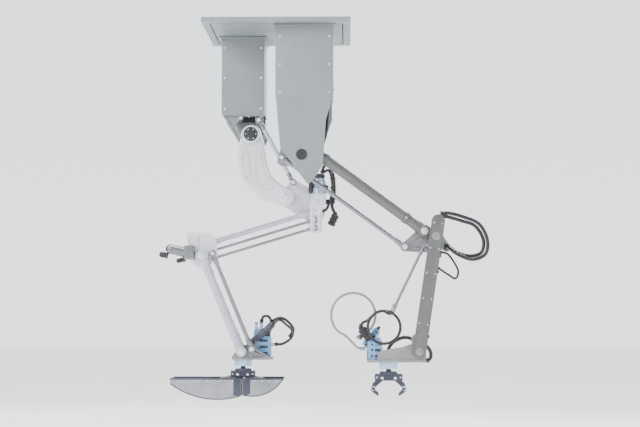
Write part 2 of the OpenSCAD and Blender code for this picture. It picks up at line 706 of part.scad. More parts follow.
module rear_air_fittings() color([0.10, 0.30, 0.62]) {
    for (x = [-76, -60]) fitting(x, rt_y + 21, -962, 24);
    for (x = [-44, -34]) fitting(x, rt_y + 21, -985, 18);
    translate([-28, rt_y + 20, -1010]) rotate([0, 90, 0]) cylinder(h = 14, r = 5.5);
}

module rear_wrist_hose() color([0.05, 0.05, 0.06]) {
    y = rt_y + 21;
    hose(smooth([[-44, y, -967], [-36, y, -948], [-16, y, -930], [8, y, -926], [30, y, -940],
                 [44, y, -962], [36, y, -990], [10, y, -1008], [-14, y - 1, -1010]], 4), 5);
    hose(smooth([[-60, y, -938], [-52, y - 6, -920], [-34, y - 12, -922], [-26, y - 8, -944],
                 [-34, y, -967]], 4), 4);
}

// ---- rear gripper ----

rear_grip_z = rear_foot_z - 2 * foot_t - tool_h;
rear_jaw_dx = 16;
rear_jaw_l = [rear_tool_x - rear_jaw_dx, rear_grip_z - 20];
rear_jaw_r = [rear_tool_x + rear_jaw_dx, rear_grip_z - 20];

module rear_gripper_body() color([0.30, 0.34, 0.42])
    gripper_body(rear_tool_x, rt_y, rear_grip_z, 76, rear_jaw_dx, rear_jaw_l[1]);

// A half bucket: the part of a drum below the rim, hollow and open at its top and mouth.
module bucket(x0, x1, c, r, rim, mouth) {
    y0 = rt_y - scoop_d / 2;
    y1 = rt_y + scoop_d / 2;
    difference() {
        intersection() {
            slab(y0, y1) translate(c) circle(r, $fn = 160);
            block([x0, y0 - 1, c[1] - r - 1], [x1, y1 + 1, rim]);
        }
        intersection() {
            slab(y0 + scoop_t, y1 - scoop_t) translate(c) circle(r - scoop_t, $fn = 160);
            block([x0 + (mouth > 0 ? scoop_t : -1), y0, c[1] - r],
                  [x1 + (mouth > 0 ? 1 : -scoop_t), y1, rim + 1]);
        }
    }
}

// The arm from a bucket's rear wall up to its pin.
module jaw_arm(p, foot) slab(rt_y - 8, rt_y + 8) strap(p, 7, foot, 6);

module rear_scoop_left() color([0.66, 0.68, 0.72]) {
    rim = rear_grip_z - 32;
    difference() {
        union() {
            bucket(-345, rear_tool_x - 2, [-196, -936], 248, rim, 1);
            block([-200, rt_y - scoop_d / 2, rim - 8], [-178, rt_y + scoop_d / 2, rim - 2]);
            jaw_arm(rear_jaw_l, [-188, rim - 6]);
        }
        ybar(rear_jaw_l, rt_y - 9, rt_y + 9, 4 + run);
    }
}

module rear_scoop_right() color([0.74, 0.74, 0.82]) {
    rim = rear_grip_z - 32;
    difference() {
        union() {
            bucket(rear_tool_x + 2, 14, [-84, -1058], 116, rim, -1);
            block([-66, rt_y - scoop_d / 2, rim - 8], [-46, rt_y + scoop_d / 2, rim - 2]);
            jaw_arm(rear_jaw_r, [-56, rim - 6]);
        }
        ybar(rear_jaw_r, rt_y - 9, rt_y + 9, 4 + run);
    }
}

ceiling_plate();
column_bolts();
front_column();
front_column_plug();
front_shoulder_plate();
front_shoulder_motor();
front_shoulder_gearbox();
front_column_cable();
front_upper_arm();
front_upper_rod();
front_elbow_plate();
front_elbow_pins();
front_elbow_servo();
front_elbow_hoses();
front_forearm();
front_forearm_cap();
front_wrist_belt();
front_air_pipe();
front_forearm_cable();
front_wrist_bracket();
front_wrist_pin();
front_tool_motor();
front_valve_block();
front_valve_solenoid();
front_air_fittings();
front_grey_hose();
front_black_hose();
front_wrist_cables();
front_gripper_body();
front_jaw_left();
front_jaw_right();
rear_column();
rear_shoulder_bracket();
rear_shoulder_motor();
rear_shoulder_gearbox();
rear_upper_arm();
rear_shoulder_cap();
rear_upper_rod();
rear_knee_block();
rear_knee_pins();
rear_knee_motor();
rear_knee_cable();
rear_middle_link();
rear_middle_rod_front();
rear_middle_rod_back();
rear_elbow_block();
rear_elbow_pins();
rear_elbow_servo();
rear_forearm();
rear_forearm_rod();
rear_wrist_bracket();
rear_wrist_pins();
rear_tool_motor();
rear_valve_block();
rear_air_fittings();
rear_wrist_hose();
rear_gripper_body();
rear_scoop_left();
rear_scoop_right();
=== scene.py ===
"""Looks for the ceiling-hung twin-arm pick robot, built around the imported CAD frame."""
import json
from math import acos, atan2, cos, pi, radians, sin, sqrt

import bmesh
import bpy
from mathutils import Matrix, Vector


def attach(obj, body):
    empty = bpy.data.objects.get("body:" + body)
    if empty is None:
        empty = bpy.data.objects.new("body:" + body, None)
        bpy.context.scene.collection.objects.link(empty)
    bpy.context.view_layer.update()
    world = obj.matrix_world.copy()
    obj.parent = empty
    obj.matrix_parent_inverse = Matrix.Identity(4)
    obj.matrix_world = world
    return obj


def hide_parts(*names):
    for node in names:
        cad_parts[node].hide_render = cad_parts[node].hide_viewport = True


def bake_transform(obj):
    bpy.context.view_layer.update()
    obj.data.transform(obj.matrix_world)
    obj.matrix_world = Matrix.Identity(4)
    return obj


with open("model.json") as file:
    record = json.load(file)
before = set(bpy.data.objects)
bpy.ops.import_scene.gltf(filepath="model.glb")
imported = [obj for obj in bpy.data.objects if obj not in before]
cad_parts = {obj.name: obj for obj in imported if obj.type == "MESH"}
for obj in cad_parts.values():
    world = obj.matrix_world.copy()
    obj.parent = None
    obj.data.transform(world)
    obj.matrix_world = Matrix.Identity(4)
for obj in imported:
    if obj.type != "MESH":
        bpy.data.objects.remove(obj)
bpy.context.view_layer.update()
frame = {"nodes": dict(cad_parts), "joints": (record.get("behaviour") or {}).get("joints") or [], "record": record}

PIVOT = {j["name"]: Vector(j["pos_m"]) for j in frame["joints"]}
SLOT = {s["node"]: s["material_slot"] for s in frame["record"]["subparts"]}
Y = Vector((0, 1, 0))
FRONT = -Y
UP = Vector((0, 0, 1))


def mm(x, y, z):
    """A point of the shared frame from millimetres."""
    return Vector((x, y, z)) / 1000


# ---- materials ----

MATERIAL = {}


def graph(name):
    m = bpy.data.materials.new(name)
    m.use_nodes = True
    t = m.node_tree
    return m, t, t.nodes["Principled BSDF"]


def add(t, kind, **values):
    """A shader node, with the values of the inputs named in the call."""
    n = t.nodes.new("ShaderNode" + kind)
    for key, value in values.items():
        n.inputs[key.replace("_", " ")].default_value = value
    return n


def noise(t, scale, detail=4.0, rough=0.55, stretch=(1, 1, 1)):
    """A noise texture in the piece's own coordinates, stretched for grain."""
    place = add(t, "Mapping", Scale=stretch)
    t.links.new(add(t, "TexCoord").outputs["Object"], place.inputs["Vector"])
    n = add(t, "TexNoise", Scale=scale, Detail=detail, Roughness=rough)
    t.links.new(place.outputs["Vector"], n.inputs["Vector"])
    return n.outputs["Fac"]


def ramp(t, fac, stops):
    """Colours along a factor: stops are (place, colour)."""
    r = add(t, "ValToRGB")
    while len(r.color_ramp.elements) < len(stops):
        r.color_ramp.elements.new(0.5)
    for e, (p, c) in zip(r.color_ramp.elements, stops):
        e.position = p
        e.color = (*c, 1)
    t.links.new(fac, r.inputs["Fac"])
    return r.outputs["Color"]


def spread(t, fac, low, high):
    """A factor mapped to a range of numbers."""
    r = add(t, "MapRange", From_Min=0.3, From_Max=0.7, To_Min=low, To_Max=high)
    t.links.new(fac, r.inputs["Value"])
    return r.outputs["Result"]


def tone(c, k):
    return tuple(min(1.0, x * k) for x in c)


def blended(t, colour, mask, other):
    """A colour with another laid over it where the mask is bright."""
    mix = add(t, "Mix")
    mix.data_type = "RGBA"
    t.links.new(mask, mix.inputs["Factor"])
    t.links.new(colour, mix.inputs["A"])
    mix.inputs["B"].default_value = (*other, 1)
    return mix.outputs["Result"]


def finish(name, base, rough, metal=0.0, vary=0.06, patch=14, grain=700, bump=0.06,
              stretch=(1, 1, 1), wear=None, coat=0.0, soil=0.0):
    """One surface: soft patches, soiling, worn specks, and a fine grain in bump and gloss."""
    m, t, p = graph(name)
    colour = ramp(t, noise(t, patch, 5), [(0.32, tone(base, 1 - vary)), (0.5, base), (0.68,
        tone(base, 1 + vary))])
    if soil:
        stain = ramp(t, noise(t, 9, 10, 0.68), [(0.48, (0, 0, 0)), (0.74, (soil, soil, soil))])
        colour = blended(t, colour, stain, tone(base, 0.35))
    if wear:
        specks = ramp(t, noise(t, 95, 8, 0.72), [(0.69, (0, 0, 0)), (0.76, (1, 1, 1))])
        colour = blended(t, colour, specks, wear)
    t.links.new(colour, p.inputs["Base Color"])
    t.links.new(spread(t, noise(t, grain / 12, 6, 0.6, stretch), rough - 0.07, rough + 0.09),
        p.inputs["Roughness"])
    b = add(t, "Bump", Strength=bump, Distance=0.0006)
    t.links.new(noise(t, grain, 3, 0.6, stretch), b.inputs["Height"])
    t.links.new(b.outputs["Normal"], p.inputs["Normal"])
    p.inputs["Metallic"].default_value = metal
    p.inputs["Coat Weight"].default_value = coat
    p.inputs["Coat Roughness"].default_value = 0.18
    MATERIAL[name] = m


BRUSHED_X = (0.06, 1.6, 1.6)
BRUSHED_Z = (1.6, 1.6, 0.06)
finish("grey_paint", (0.225, 0.25, 0.255), 0.46, vary=0.04, bump=0.16, grain=520, wear=(0.32, 0.34,
    0.34), soil=0.12)
finish("zinc_steel", (0.72, 0.72, 0.75), 0.26, 1.0, vary=0.1, bump=0.05)
finish("cast_grey", (0.25, 0.255, 0.26), 0.52, 0.25, vary=0.08, bump=0.12, grain=420, wear=(0.46,
    0.46, 0.47), soil=0.3)
finish("arm_grey", (0.135, 0.135, 0.133), 0.38, 0.4, vary=0.06, bump=0.05, stretch=BRUSHED_Z,
    wear=(0.24, 0.24, 0.24), soil=0.22)
finish("rod_steel", (0.25, 0.25, 0.28), 0.32, 0.85, vary=0.08, bump=0.04, stretch=BRUSHED_X)
finish("gearbox_metal", (0.20, 0.205, 0.225), 0.4, 0.7, vary=0.1, bump=0.07, wear=(0.34, 0.34,
    0.35))
finish("motor_black", (0.022, 0.024, 0.028), 0.42, vary=0.25, bump=0.2, wear=(0.05, 0.05, 0.055))
finish("black_plastic", (0.014, 0.014, 0.016), 0.48, vary=0.25, bump=0.3, grain=900)
finish("black_hose", (0.012, 0.012, 0.014), 0.33, vary=0.3, bump=0.1, grain=600, wear=(0.03, 0.03,
    0.03))
finish("grey_hose", (0.22, 0.22, 0.24), 0.3, vary=0.08, bump=0.06, grain=400, coat=0.3)
finish("belt_rubber", (0.02, 0.02, 0.02), 0.7, vary=0.3, bump=0.3)
finish("white_paint", (0.70, 0.71, 0.75), 0.30, vary=0.03, bump=0.08, grain=380, coat=0.4,
    wear=(0.58, 0.59, 0.62), soil=0.12)
finish("white_link", (0.48, 0.49, 0.56), 0.28, 0.25, vary=0.05, bump=0.08, grain=380, coat=0.3,
    soil=0.16)
# Pale metal: its blue tint is a painted bluish highlight, as on the knee motor's shell; the pale metal under it is
# the parts' own colour.
finish("pale_metal", (0.40, 0.52, 0.68), 0.30, 0.6, vary=0.08, bump=0.1, wear=(0.66, 0.72, 0.78))
finish("light_blue", (0.17, 0.36, 0.64), 0.36, 0.2, vary=0.08, bump=0.14, wear=(0.42, 0.60, 0.80))
finish("fitting_blue", (0.03, 0.13, 0.42), 0.25, vary=0.15, bump=0.05, coat=0.4)
finish("gripper_dark", (0.05, 0.055, 0.08), 0.36, 0.4, vary=0.2, bump=0.18, wear=(0.16, 0.17, 0.2))
# Scoop steel: the slight blue in its base colour is a painted reflection of bluish light on the chrome; its soil
# is real dirt.
finish("scoop_steel", (0.33, 0.335, 0.36), 0.30, 0.8, vary=0.1, bump=0.2, stretch=BRUSHED_X,
    wear=(0.50, 0.50, 0.53), soil=0.7)

for node, o in frame["nodes"].items():
    o.data.materials.clear()
    o.data.materials.append(MATERIAL[SLOT[node]])


def soften(node, width, segments):
    """Rounds a CAD node's edges with modifiers only."""
    o = frame["nodes"][node]
    weld = o.modifiers.new("weld", "WELD")
    weld.merge_threshold = 2e-5
    bevel = o.modifiers.new("bevel", "BEVEL")
    bevel.width = width
    bevel.segments = segments
    bevel.limit_method = "ANGLE"
    bevel.angle_limit = radians(35)
    bevel.harden_normals = True


EDGE = {
    "ceiling_plate": 0.0015, "front_column": 0.0012, "rear_column": 0.0012,
    "front_shoulder_plate": 0.001, "rear_shoulder_bracket": 0.001,
    "front_elbow_plate": 0.0015, "front_wrist_bracket": 0.001, "rear_wrist_bracket": 0.001,
    "rear_knee_block": 0.002, "rear_elbow_block": 0.003, "front_forearm": 0.005,
    "front_gripper_body": 0.001, "rear_gripper_body": 0.001, "front_valve_block": 0.0015,
    "rear_valve_block": 0.0015, "front_valve_solenoid": 0.002, "front_shoulder_gearbox": 0.0015,
    "rear_shoulder_gearbox": 0.0015, "front_jaw_left": 0.001, "front_jaw_right": 0.001,
}
for node, width in EDGE.items():
    soften(node, width, 3 if width > 0.002 else 2)


# ---- mesh building ----

def turned(axis):
    """A rotation that takes +Z to the axis."""
    return UP.rotation_difference(Vector(axis)).to_matrix()


class Shape:
    """Parts gathered into one mesh, in the shared frame."""

    def __init__(self):
        self.bm = bmesh.new()

    def ring_stack(self, rings):
        made = [[self.bm.verts.new(v) for v in r] for r in rings]
        n = len(made[0])
        for a, b in zip(made, made[1:]):
            for k in range(n):
                self.bm.faces.new((a[k], a[(k + 1) % n], b[(k + 1) % n], b[k]))
        self.bm.faces.new(made[0][::-1])
        self.bm.faces.new(made[-1])
        return self

    def lathe(self, at, axis, profile, seg=40):
        """A turned part: profile is (radius, height) in millimetres along the axis."""
        m = turned(axis)
        rings = []
        for r, h in profile:
            rings.append([Vector(at) + m @ (Vector((r * cos(2 * pi * k / seg),
                r * sin(2 * pi * k / seg), h)) / 1000) for k in range(seg)])
        return self.ring_stack(rings)

    def screw(self, at, axis, r, h):
        """A socket-head screw seen from outside, with its hexagon recess."""
        m = turned(axis)
        seg = 36
        flat = 0.52 * r * cos(pi / 6)
        hexagon = [flat / cos(radians(k * 10 % 60 - 30)) for k in range(seg)]
        rings = []
        for radii, z in (([r] * seg, 0), ([r] * seg, h * 0.85), ([r * 0.88] * seg, h),
                         (hexagon, h), (hexagon, h * 0.4), ([x * 0.1 for x in hexagon], h * 0.35)):
            rings.append([Vector(at) + m @ (Vector((radii[k] * cos(k * pi / 18),
                radii[k] * sin(k * pi / 18), z)) / 1000) for k in range(seg)])
        return self.ring_stack(rings)

    def screw_circle(self, place, axis, n, start, radius, r, h):
        """Screws around a place (x, y, z) in millimetres, from a start angle in degrees."""
        x, y, z = place
        for k in range(n):
            a = radians(start + 360 / n * k)
            u, v = radius * cos(a), radius * sin(a)
            self.screw(mm(x + u, y + v, z) if axis == UP else mm(x + u, y, z + v), axis, r, h)

    def nut(self, at, axis, across, height):
        """A hexagon nut with chamfered corners."""
        r = across / sqrt(3)
        m = turned(axis)
        rings = []
        for k_r, z in ((0.9, 0), (1, height * 0.12), (1, height * 0.88), (0.9, height)):
            rings.append([Vector(at) + m @ (Vector((r * k_r * cos(k * pi / 3),
                r * k_r * sin(k * pi / 3), z)) / 1000) for k in range(6)])
        return self.ring_stack(rings)

    def tube(self, line, radius, sides=18, radii=None):
        """A round tube along points, with the turn of its rings carried along."""
        rings, u = [], None
        n = len(line)
        for i, p in enumerate(line):
            t = (line[min(i + 1, n - 1)] - line[max(i - 1, 0)]).normalized()
            if u is None:
                u = t.orthogonal().normalized()
            u = (u - t * u.dot(t)).normalized()
            v = t.cross(u)
            r = radius * (radii[i] if radii else 1)
            rings.append([p + r * (cos(2 * pi * k / sides) * u
                                   + sin(2 * pi * k / sides) * v)
                          for k in range(sides)])
        return self.ring_stack(rings)

    def solid(self, rings, bevel):
        """A closed prism from two outlines, with all its sharp edges rounded."""
        part = bmesh.new()
        keep, self.bm = self.bm, part
        self.ring_stack(rings)
        self.bm = keep
        bmesh.ops.recalc_face_normals(part, faces=part.faces)
        if bevel:
            sharp = [e for e in part.edges if e.calc_face_angle(0) > 0.6]
            bmesh.ops.bevel(part, geom=sharp, offset=bevel, segments=2, affect="EDGES", profile=0.5,
                clamp_overlap=True)
        mesh = bpy.data.meshes.new("part")
        part.to_mesh(mesh)
        part.free()
        self.bm.from_mesh(mesh)
        bpy.data.meshes.remove(mesh)
        return self

    def box(self, lo, hi, bevel=0.001, turn=None, about=None):
        """A rounded box from its lowest to its highest corner, in millimetres."""
        lo, hi = Vector(lo), Vector(hi)
        rings = [[Vector(c) / 1000 for c in ((lo.x, lo.y, z), (hi.x, lo.y, z), (hi.x, hi.y, z),
            (lo.x, hi.y, z))] for z in (lo.z, hi.z)]
        if turn is not None:
            pin = Vector(about)
            rings = [[pin + turn @ (v - pin) for v in r] for r in rings]
        return self.solid(rings, bevel)

    def prism(self, outline, y0, y1, bevel):
        """An outline in XZ carried along Y, all in millimetres."""
        return self.solid([[mm(x, y, z) for x, z in outline] for y in (y0, y1)], bevel)

    def make(self, name, slot, body, replaces=(), crease=35, blend=None):
        bmesh.ops.recalc_face_normals(self.bm, faces=self.bm.faces)
        mesh = bpy.data.meshes.new(name)
        self.bm.to_mesh(mesh)
        self.bm.free()
        mesh.shade_smooth()
        mesh.set_sharp_from_angle(angle=radians(crease))
        o = bpy.data.objects.new(name, mesh)
        bpy.context.scene.collection.objects.link(o)
        mesh.materials.append(MATERIAL[slot])
        if blend:
            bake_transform(o)
        else:
            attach(o, body)
        if replaces:
            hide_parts(*replaces)
        return o


def spline(a, b, c, d, t):
    """The point a share t of the way from b to c, on a smooth curve through a, b, c and d."""
    return 0.5 * (2 * b + (c - a) * t + (2 * a - 5 * b + 4 * c - d) * t * t
                  + (3 * b - 3 * c + d - a) * t ** 3)


def smooth(points, steps=8):
    """Points on a smooth curve through points given in millimetres."""
    p = [mm(*v) for v in points]
    line = []
    for i in range(len(p) - 1):
        a, b, c, d = p[max(i - 1, 0)], p[i], p[i + 1], p[min(i + 2, len(p) - 1)]
        line += [spline(a, b, c, d, k / steps) for k in range(steps)]
    return line + [p[-1]]


def arc(c, y, r, a0, a1, dy, steps):
    """Points on an arc in XZ, in degrees, drifting along Y by dy."""
    return [(c[0] + r * cos(radians(a0 + (a1 - a0) * i / steps)), y + dy * i / steps,
        c[1] + r * sin(radians(a0 + (a1 - a0) * i / steps))) for i in range(steps + 1)]


def xz(name):
    """A joint's pivot in millimetres, as (x, z)."""
    p = PIVOT[name] * 1000
    return Vector((p.x, p.z))


def at(p, y):
    return mm(p[0], y, p[1])


# ---- camera, light and stage ----

def lay_floor(half, height):
    """The studio's pale floor."""
    sheet = bpy.data.objects.new("floor", bpy.data.meshes.new("floor"))
    corners = [(x, y, height) for x, y in ((-half, -half), (half, -half), (half, half), (-half, half))]
    sheet.data.from_pydata(corners, [], [(0, 1, 2, 3)])
    m, t, p = graph("floor")
    colour = ramp(t, noise(t, 2.0, 3), [(0.3, (0.82, 0.82, 0.82)), (0.7, (0.86, 0.86, 0.86))])
    t.links.new(colour, p.inputs["Base Color"])
    p.inputs["Roughness"].default_value = 0.8
    sheet.data.materials.append(m)
    bpy.context.scene.collection.objects.link(sheet)


def set_stage():
    centre = Vector((0.132, 0.0, -0.592))
    eye = Vector((0.215, -4.75, -0.881))
    cam = bpy.data.objects.new("camera", bpy.data.cameras.new("camera"))
    cam.data.lens = 84
    cam.location = eye
    cam.rotation_euler = (centre - eye).to_track_quat("-Z", "Y").to_euler()
    bpy.context.scene.collection.objects.link(cam)
    bpy.context.scene.camera = cam
    lay_floor(14.0, -1.42)
    world = bpy.data.worlds.new("studio")
    world.use_nodes = True
    t = world.node_tree
    split = add(t, "SeparateXYZ")
    t.links.new(add(t, "TexCoord").outputs["Generated"], split.inputs["Vector"])
    sky = ramp(t, split.outputs["Z"], [(0.0, (0.96, 0.98, 1.0)), (0.25, (0.80, 0.84, 0.90)), (0.5,
        (0.10, 0.11, 0.12)), (1.0, (0.20, 0.21, 0.23))])
    t.links.new(sky, t.nodes["Background"].inputs["Color"])
    t.nodes["Background"].inputs["Strength"].default_value = 2.3
    bpy.context.scene.world = world
    for name, place, target, size, power, tint in (
            ("key", (-2.4, -2.2, 1.3), centre, 1.6, 120, (1.0, 0.99, 0.97)),
            ("fill", (2.6, -2.8, -0.2), centre, 2.6, 16, (0.93, 0.96, 1.0)),
            ("rim", (1.6, 1.9, 0.5), centre, 1.2, 70, (0.90, 0.95, 1.0)),
            ("back", (-1.8, 2.4, 0.9), centre, 1.8, 60, (1, 1, 1))):
        light = bpy.data.objects.new(name, bpy.data.lights.new(name, "AREA"))
        light.data.size = size
        light.data.energy = power
        light.data.color = tint
        light.location = place
        light.rotation_euler = (target - Vector(place)).to_track_quat("-Z", "Y").to_euler()
        bpy.context.scene.collection.objects.link(light)
    skylight = bpy.data.objects.new("skylight", bpy.data.lights.new("skylight", "SUN"))
    skylight.data.energy = 5.5
    skylight.data.angle = radians(30)
    bpy.context.scene.collection.objects.link(skylight)


set_stage()

# ---- planes along Y, as in the CAD ----
FRONT_Y, REAR_Y = -100, 100
FA_Y = PIVOT["front_shoulder"].y * 1000
FF_Y = PIVOT["front_forearm"].y * 1000
RF_Y = PIVOT["rear_forearm"].y * 1000
FT_Y = PIVOT["front_swivel"].y * 1000
RT_Y = PIVOT["rear_swivel"].y * 1000
RA_ROD_Y = REAR_Y - 36

fs, fe, ff, fw = (xz(n) for n in ("front_shoulder", "front_elbow", "front_forearm", "front_wrist"))
rs, rk, rh, re, rf, rw = (xz(n) for n in ("rear_shoulder", "rear_knee", "rear_middle", "rear_elbow",
    "rear_forearm", "rear_wrist"))


def hose(name, routes, radius, body, node, slot="black_hose", blend=None):
    """Hoses along their CAD routes, each with a collar at both ends."""
    s = Shape()
    for line in routes:
        s.tube(line, radius / 1000)
        for p, q in ((line[0], line[2]), (line[-1], line[-3])):
            s.lathe(p, q - p, [(radius * 1.05, 0), (radius * 1.45, 0.6), (radius * 1.45, 7),
                (radius * 1.1, 9)], 24)
    return s.make(name, slot, body, (node,), blend=blend)


def front_hoses():
    x, z = ff
    loops = []
    for k in (0, 1):
        y, g = FF_Y + 2 + 14 * k, 11 * k
        loops.append(smooth([
            (x + 14, y - 2, z + 68 - g / 2), (x + 36, y - 2, z + 72 - g),
            (574 - g / 2, y, -614 - g), (622 - g, y, -636 - g / 2), (646.6 - g, y, -684),
            (640 - g, y, -728 + g / 2), (600 - g / 2, y, -744 + g), (556, y + 6, -728 + g / 2),
            (532, y + 22, -708 + g / 2), (x + 36, FRONT_Y - 30, z - 32 + g / 2)]))
    hose("elbow_hose_pair", loops, 5.6, "front_forearm", "front_elbow_hoses", blend=("front_elbow",
        "front_forearm", mm(530, FF_Y, -712), mm(548, FF_Y, -628)))
    y = FF_Y + 2
    hose("forearm_sensor_cable", [smooth([(500.5, y, -722), (524, y, -727), (544, y, -752), (557, y,
        -780), (549, y, -802), (526, y, -790), (493.5, y, -768)])], 3.5, "front_forearm",
        "front_forearm_cable")
    y = FRONT_Y - 30
    hose("column_cable", [smooth([(157, y, -236), (160, y, -270), (158, y, -310), (153, y, -350),
        (140, y + 12, -385), (118, y + 20, -394)])], 5, "base", "front_column_cable")
    y = FT_Y - 4
    hose("grey_air_loop", [smooth([(267, y, -1016), (258, y, -1016), (246, y, -1010)] + arc((237,
        -914), y, 68, 250, -80, 12, 14) + [(257, y + 12, -984), (263, y + 10, -985)], 5)], 4,
        "front_wrist", "front_grey_hose", "grey_hose")
    y = FF_Y + 8
    hose("black_air_ring", [smooth([(355.7, y, -903.6), (353.6, y, -908), (347, y, -909.6), (338, y,
        -905.6)] + arc((331, -951), y, 50, 94, 500, 30, 19) + [(279, y + 32, -931), (265, y + 34,
        -938), (259, y + 35, -950)], 5)], 4.5, "front_wrist", "front_black_hose",
        blend=("front_forearm", "front_wrist", mm(353, FF_Y, -902), mm(318, FF_Y, -950)))
    y = FT_Y
    hose("wrist_cables", [smooth([(345, y + 6, -1028), (347, y + 8, -1014), (362, y + 12, -996),
        (384, y + 14, -985), (403, y + 10, -983), (418, y, -988), (425, y - 10, -994), (427,
        FF_Y + 27, -996)]), smooth([(450.5, FF_Y + 22, -1005), (463, y - 16, -1010), (474, y - 10,
        -1028), (473, y - 6, -1046), (460, y - 6, -1055)])], 5.6, "front_wrist",
        "front_wrist_cables")


def rear_hoses():
    z = rh[1]
    hose("knee_cable", [smooth([(138, REAR_Y - 6, z + 124), (141, REAR_Y - 9, z + 142), (152,
        REAR_Y - 12, z + 153), (166, REAR_Y - 14, z + 140), (173, REAR_Y - 14, z + 100), (175,
        REAR_Y - 14, z + 60), (170, REAR_Y - 12, z + 18), (178, REAR_Y - 10, z - 4), (182,
        REAR_Y - 10, z - 12)])], 5.5, "rear_knee", "rear_knee_cable")
    y = RT_Y + 21
    hose("rear_air_hoses", [smooth([(-44, y, -967), (-36, y, -948), (-16, y, -930), (8, y, -926),
        (30, y, -940), (44, y, -962), (36, y, -990), (10, y, -1008), (-14, y - 1, -1010)]),
        smooth([(-60, y, -938), (-52, y - 6, -920), (-34, y - 12, -922), (-26, y - 8, -944), (-34,
        y, -967)])], 4.6, "rear_wrist", "rear_wrist_hose")


# ---- base details ----

def dress_columns():
    """Button screws, folded seams and the cable gland of the two sheet columns."""
    s = Shape()
    for x, y, heights in ((10, -172, (-52, -140, -226)), (163, -172, (-52, -140, -226)),
                          (-176, 40, (-52, -150, -250)), (-59, 40, (-52, -150, -250))):
        for z in heights:
            s.screw(mm(x, y, z), FRONT, 4.2, 2.6)
    for side, x, y0, y1 in ((1, 175, -172, -12), (-1, -187, 40, 200)):
        for y in (y0 + 18, (y0 + y1) / 2, y1 - 18):
            for z in (-52, -200):
                s.screw(mm(x, y, z), (side, 0, 0), 4.2, 2.6)
    s.make("column_screws", "zinc_steel", "base")
    f = Shape()
    for x0, x1, y0, y1, z in ((-2, 175, -172, -12, -16), (-187, -48, 40, 200, -16)):
        for fx0, fx1, fy0, fy1 in ((x0 - 7, x1 + 7, y0 - 7, y0 + 1), (x0 - 7, x1 + 7, y1 - 1, y1 + 7),
                                   (x0 - 7, x0 + 1, y0, y1), (x1 - 1, x1 + 7, y0, y1)):
            f.box((fx0, fy0, z - 4), (fx1, fy1, z), 0.0008)
    f.box((-3.2, -173.2, -238.6), (176.2, -171.5, -20), 0.0005)
    f.make("column_flanges", "grey_paint", "base")
    weld = Shape()
    for x, y0, y1, z in ((-48, 42, 198, -21), (175, -170, -14, -21)):
        n = 26
        line = [mm(x + 1.5 + 0.5 * (k % 2), y0 + (y1 - y0) * k / n, z) for k in range(n + 1)]
        weld.tube(line, 0.0022, 8, [1 + 0.18 * (k % 2) for k in range(n + 1)])
    weld.make("column_welds", "grey_paint", "base")
    g = Shape()
    g.nut(mm(157, -130, -246), UP, 22, 8)
    g.lathe(mm(157, -130, -246), -UP, [(9.5, 0), (9.5, 5), (7.5, 10), (5.4, 13)], 28)
    g.make("column_gland", "black_plastic", "base")


def dress_plug():
    """A grommet with a rolled rim in the beak's hole."""
    s = Shape()
    c = mm(78, -172.6, -420)
    s.lathe(c, FRONT, [(16.5, 0), (17, 1.4), (16.4, 3), (14.8, 3.8), (12, 3.6), (10.5, 2.2), (9,
        1.8), (4, 3), (0.6, 3.4)], 44)
    s.make("beak_grommet", "black_plastic", "base")


def dress_front_gearbox():
    """Cast ribs, the motor's adapter and the cover over the bore of the shoulder plate."""
    x, z = fs
    s = Shape()
    for k in range(7):
        h = z - 36 + 12 * k
        for left in (x - 46, x + 41):
            s.box((left, FRONT_Y - 18, h), (left + 5, FRONT_Y + 46, h + 4.5), 0.0012)
    s.box((x - 38, FRONT_Y - 27, z + 49), (x + 38, FRONT_Y + 47, z + 55), 0.0015)
    s.lathe(mm(x, FRONT_Y - 22, z), FRONT, [(34, 0), (34, 2.5), (31, 4)], 48)
    s.lathe(mm(x, FRONT_Y + 49, z), Y, [(23.6, 0), (23.6, 11), (22, 13.5), (9, 14.2), (8, 12.6)], 48)
    s.make("front_gearbox_ribs", "gearbox_metal", "base")
    b = Shape()
    for dx in (-33, 33):
        for dz in (-33, 33):
            b.screw(mm(x + dx, FRONT_Y + 62, z + dz), Y, 6, 5)
    for x1, z1 in ((14, -212), (159, -212), (14, -285), (159, -285)):
        b.screw(mm(x1, FRONT_Y + 62, z1), Y, 5.5, 4.5)
    b.make("front_plate_screws", "zinc_steel", "base")


def dress_motor(name, x, y, z0, z1, w, plug):
    """Cooling fins, end-bell seams and a plug for a motor that stands in a column."""
    s = Shape()
    n = int((z1 - 62 - z0) / 9)
    for k in range(n):
        z = z0 + 6 + 9 * k
        s.box((x - w / 2 - 1.2, y - w / 2 - 1.2, z), (x + w / 2 + 1.2, y + w / 2 + 1.2, z + 4),
            0.0008)
    s.lathe(mm(x, y, z1 - 25), UP, [(w / 2 - 1.4, 0), (w / 2 - 1.4, 20), (w / 2 - 5, 26), (4, 27)],
        44)
    if plug:
        s.lathe(mm(x, y + w / 2 + 10, z1 - 48), Y, [(8, 0), (8, 3), (6.5, 4), (6.5, 9)], 28)
    s.make(name, "motor_black", "base")


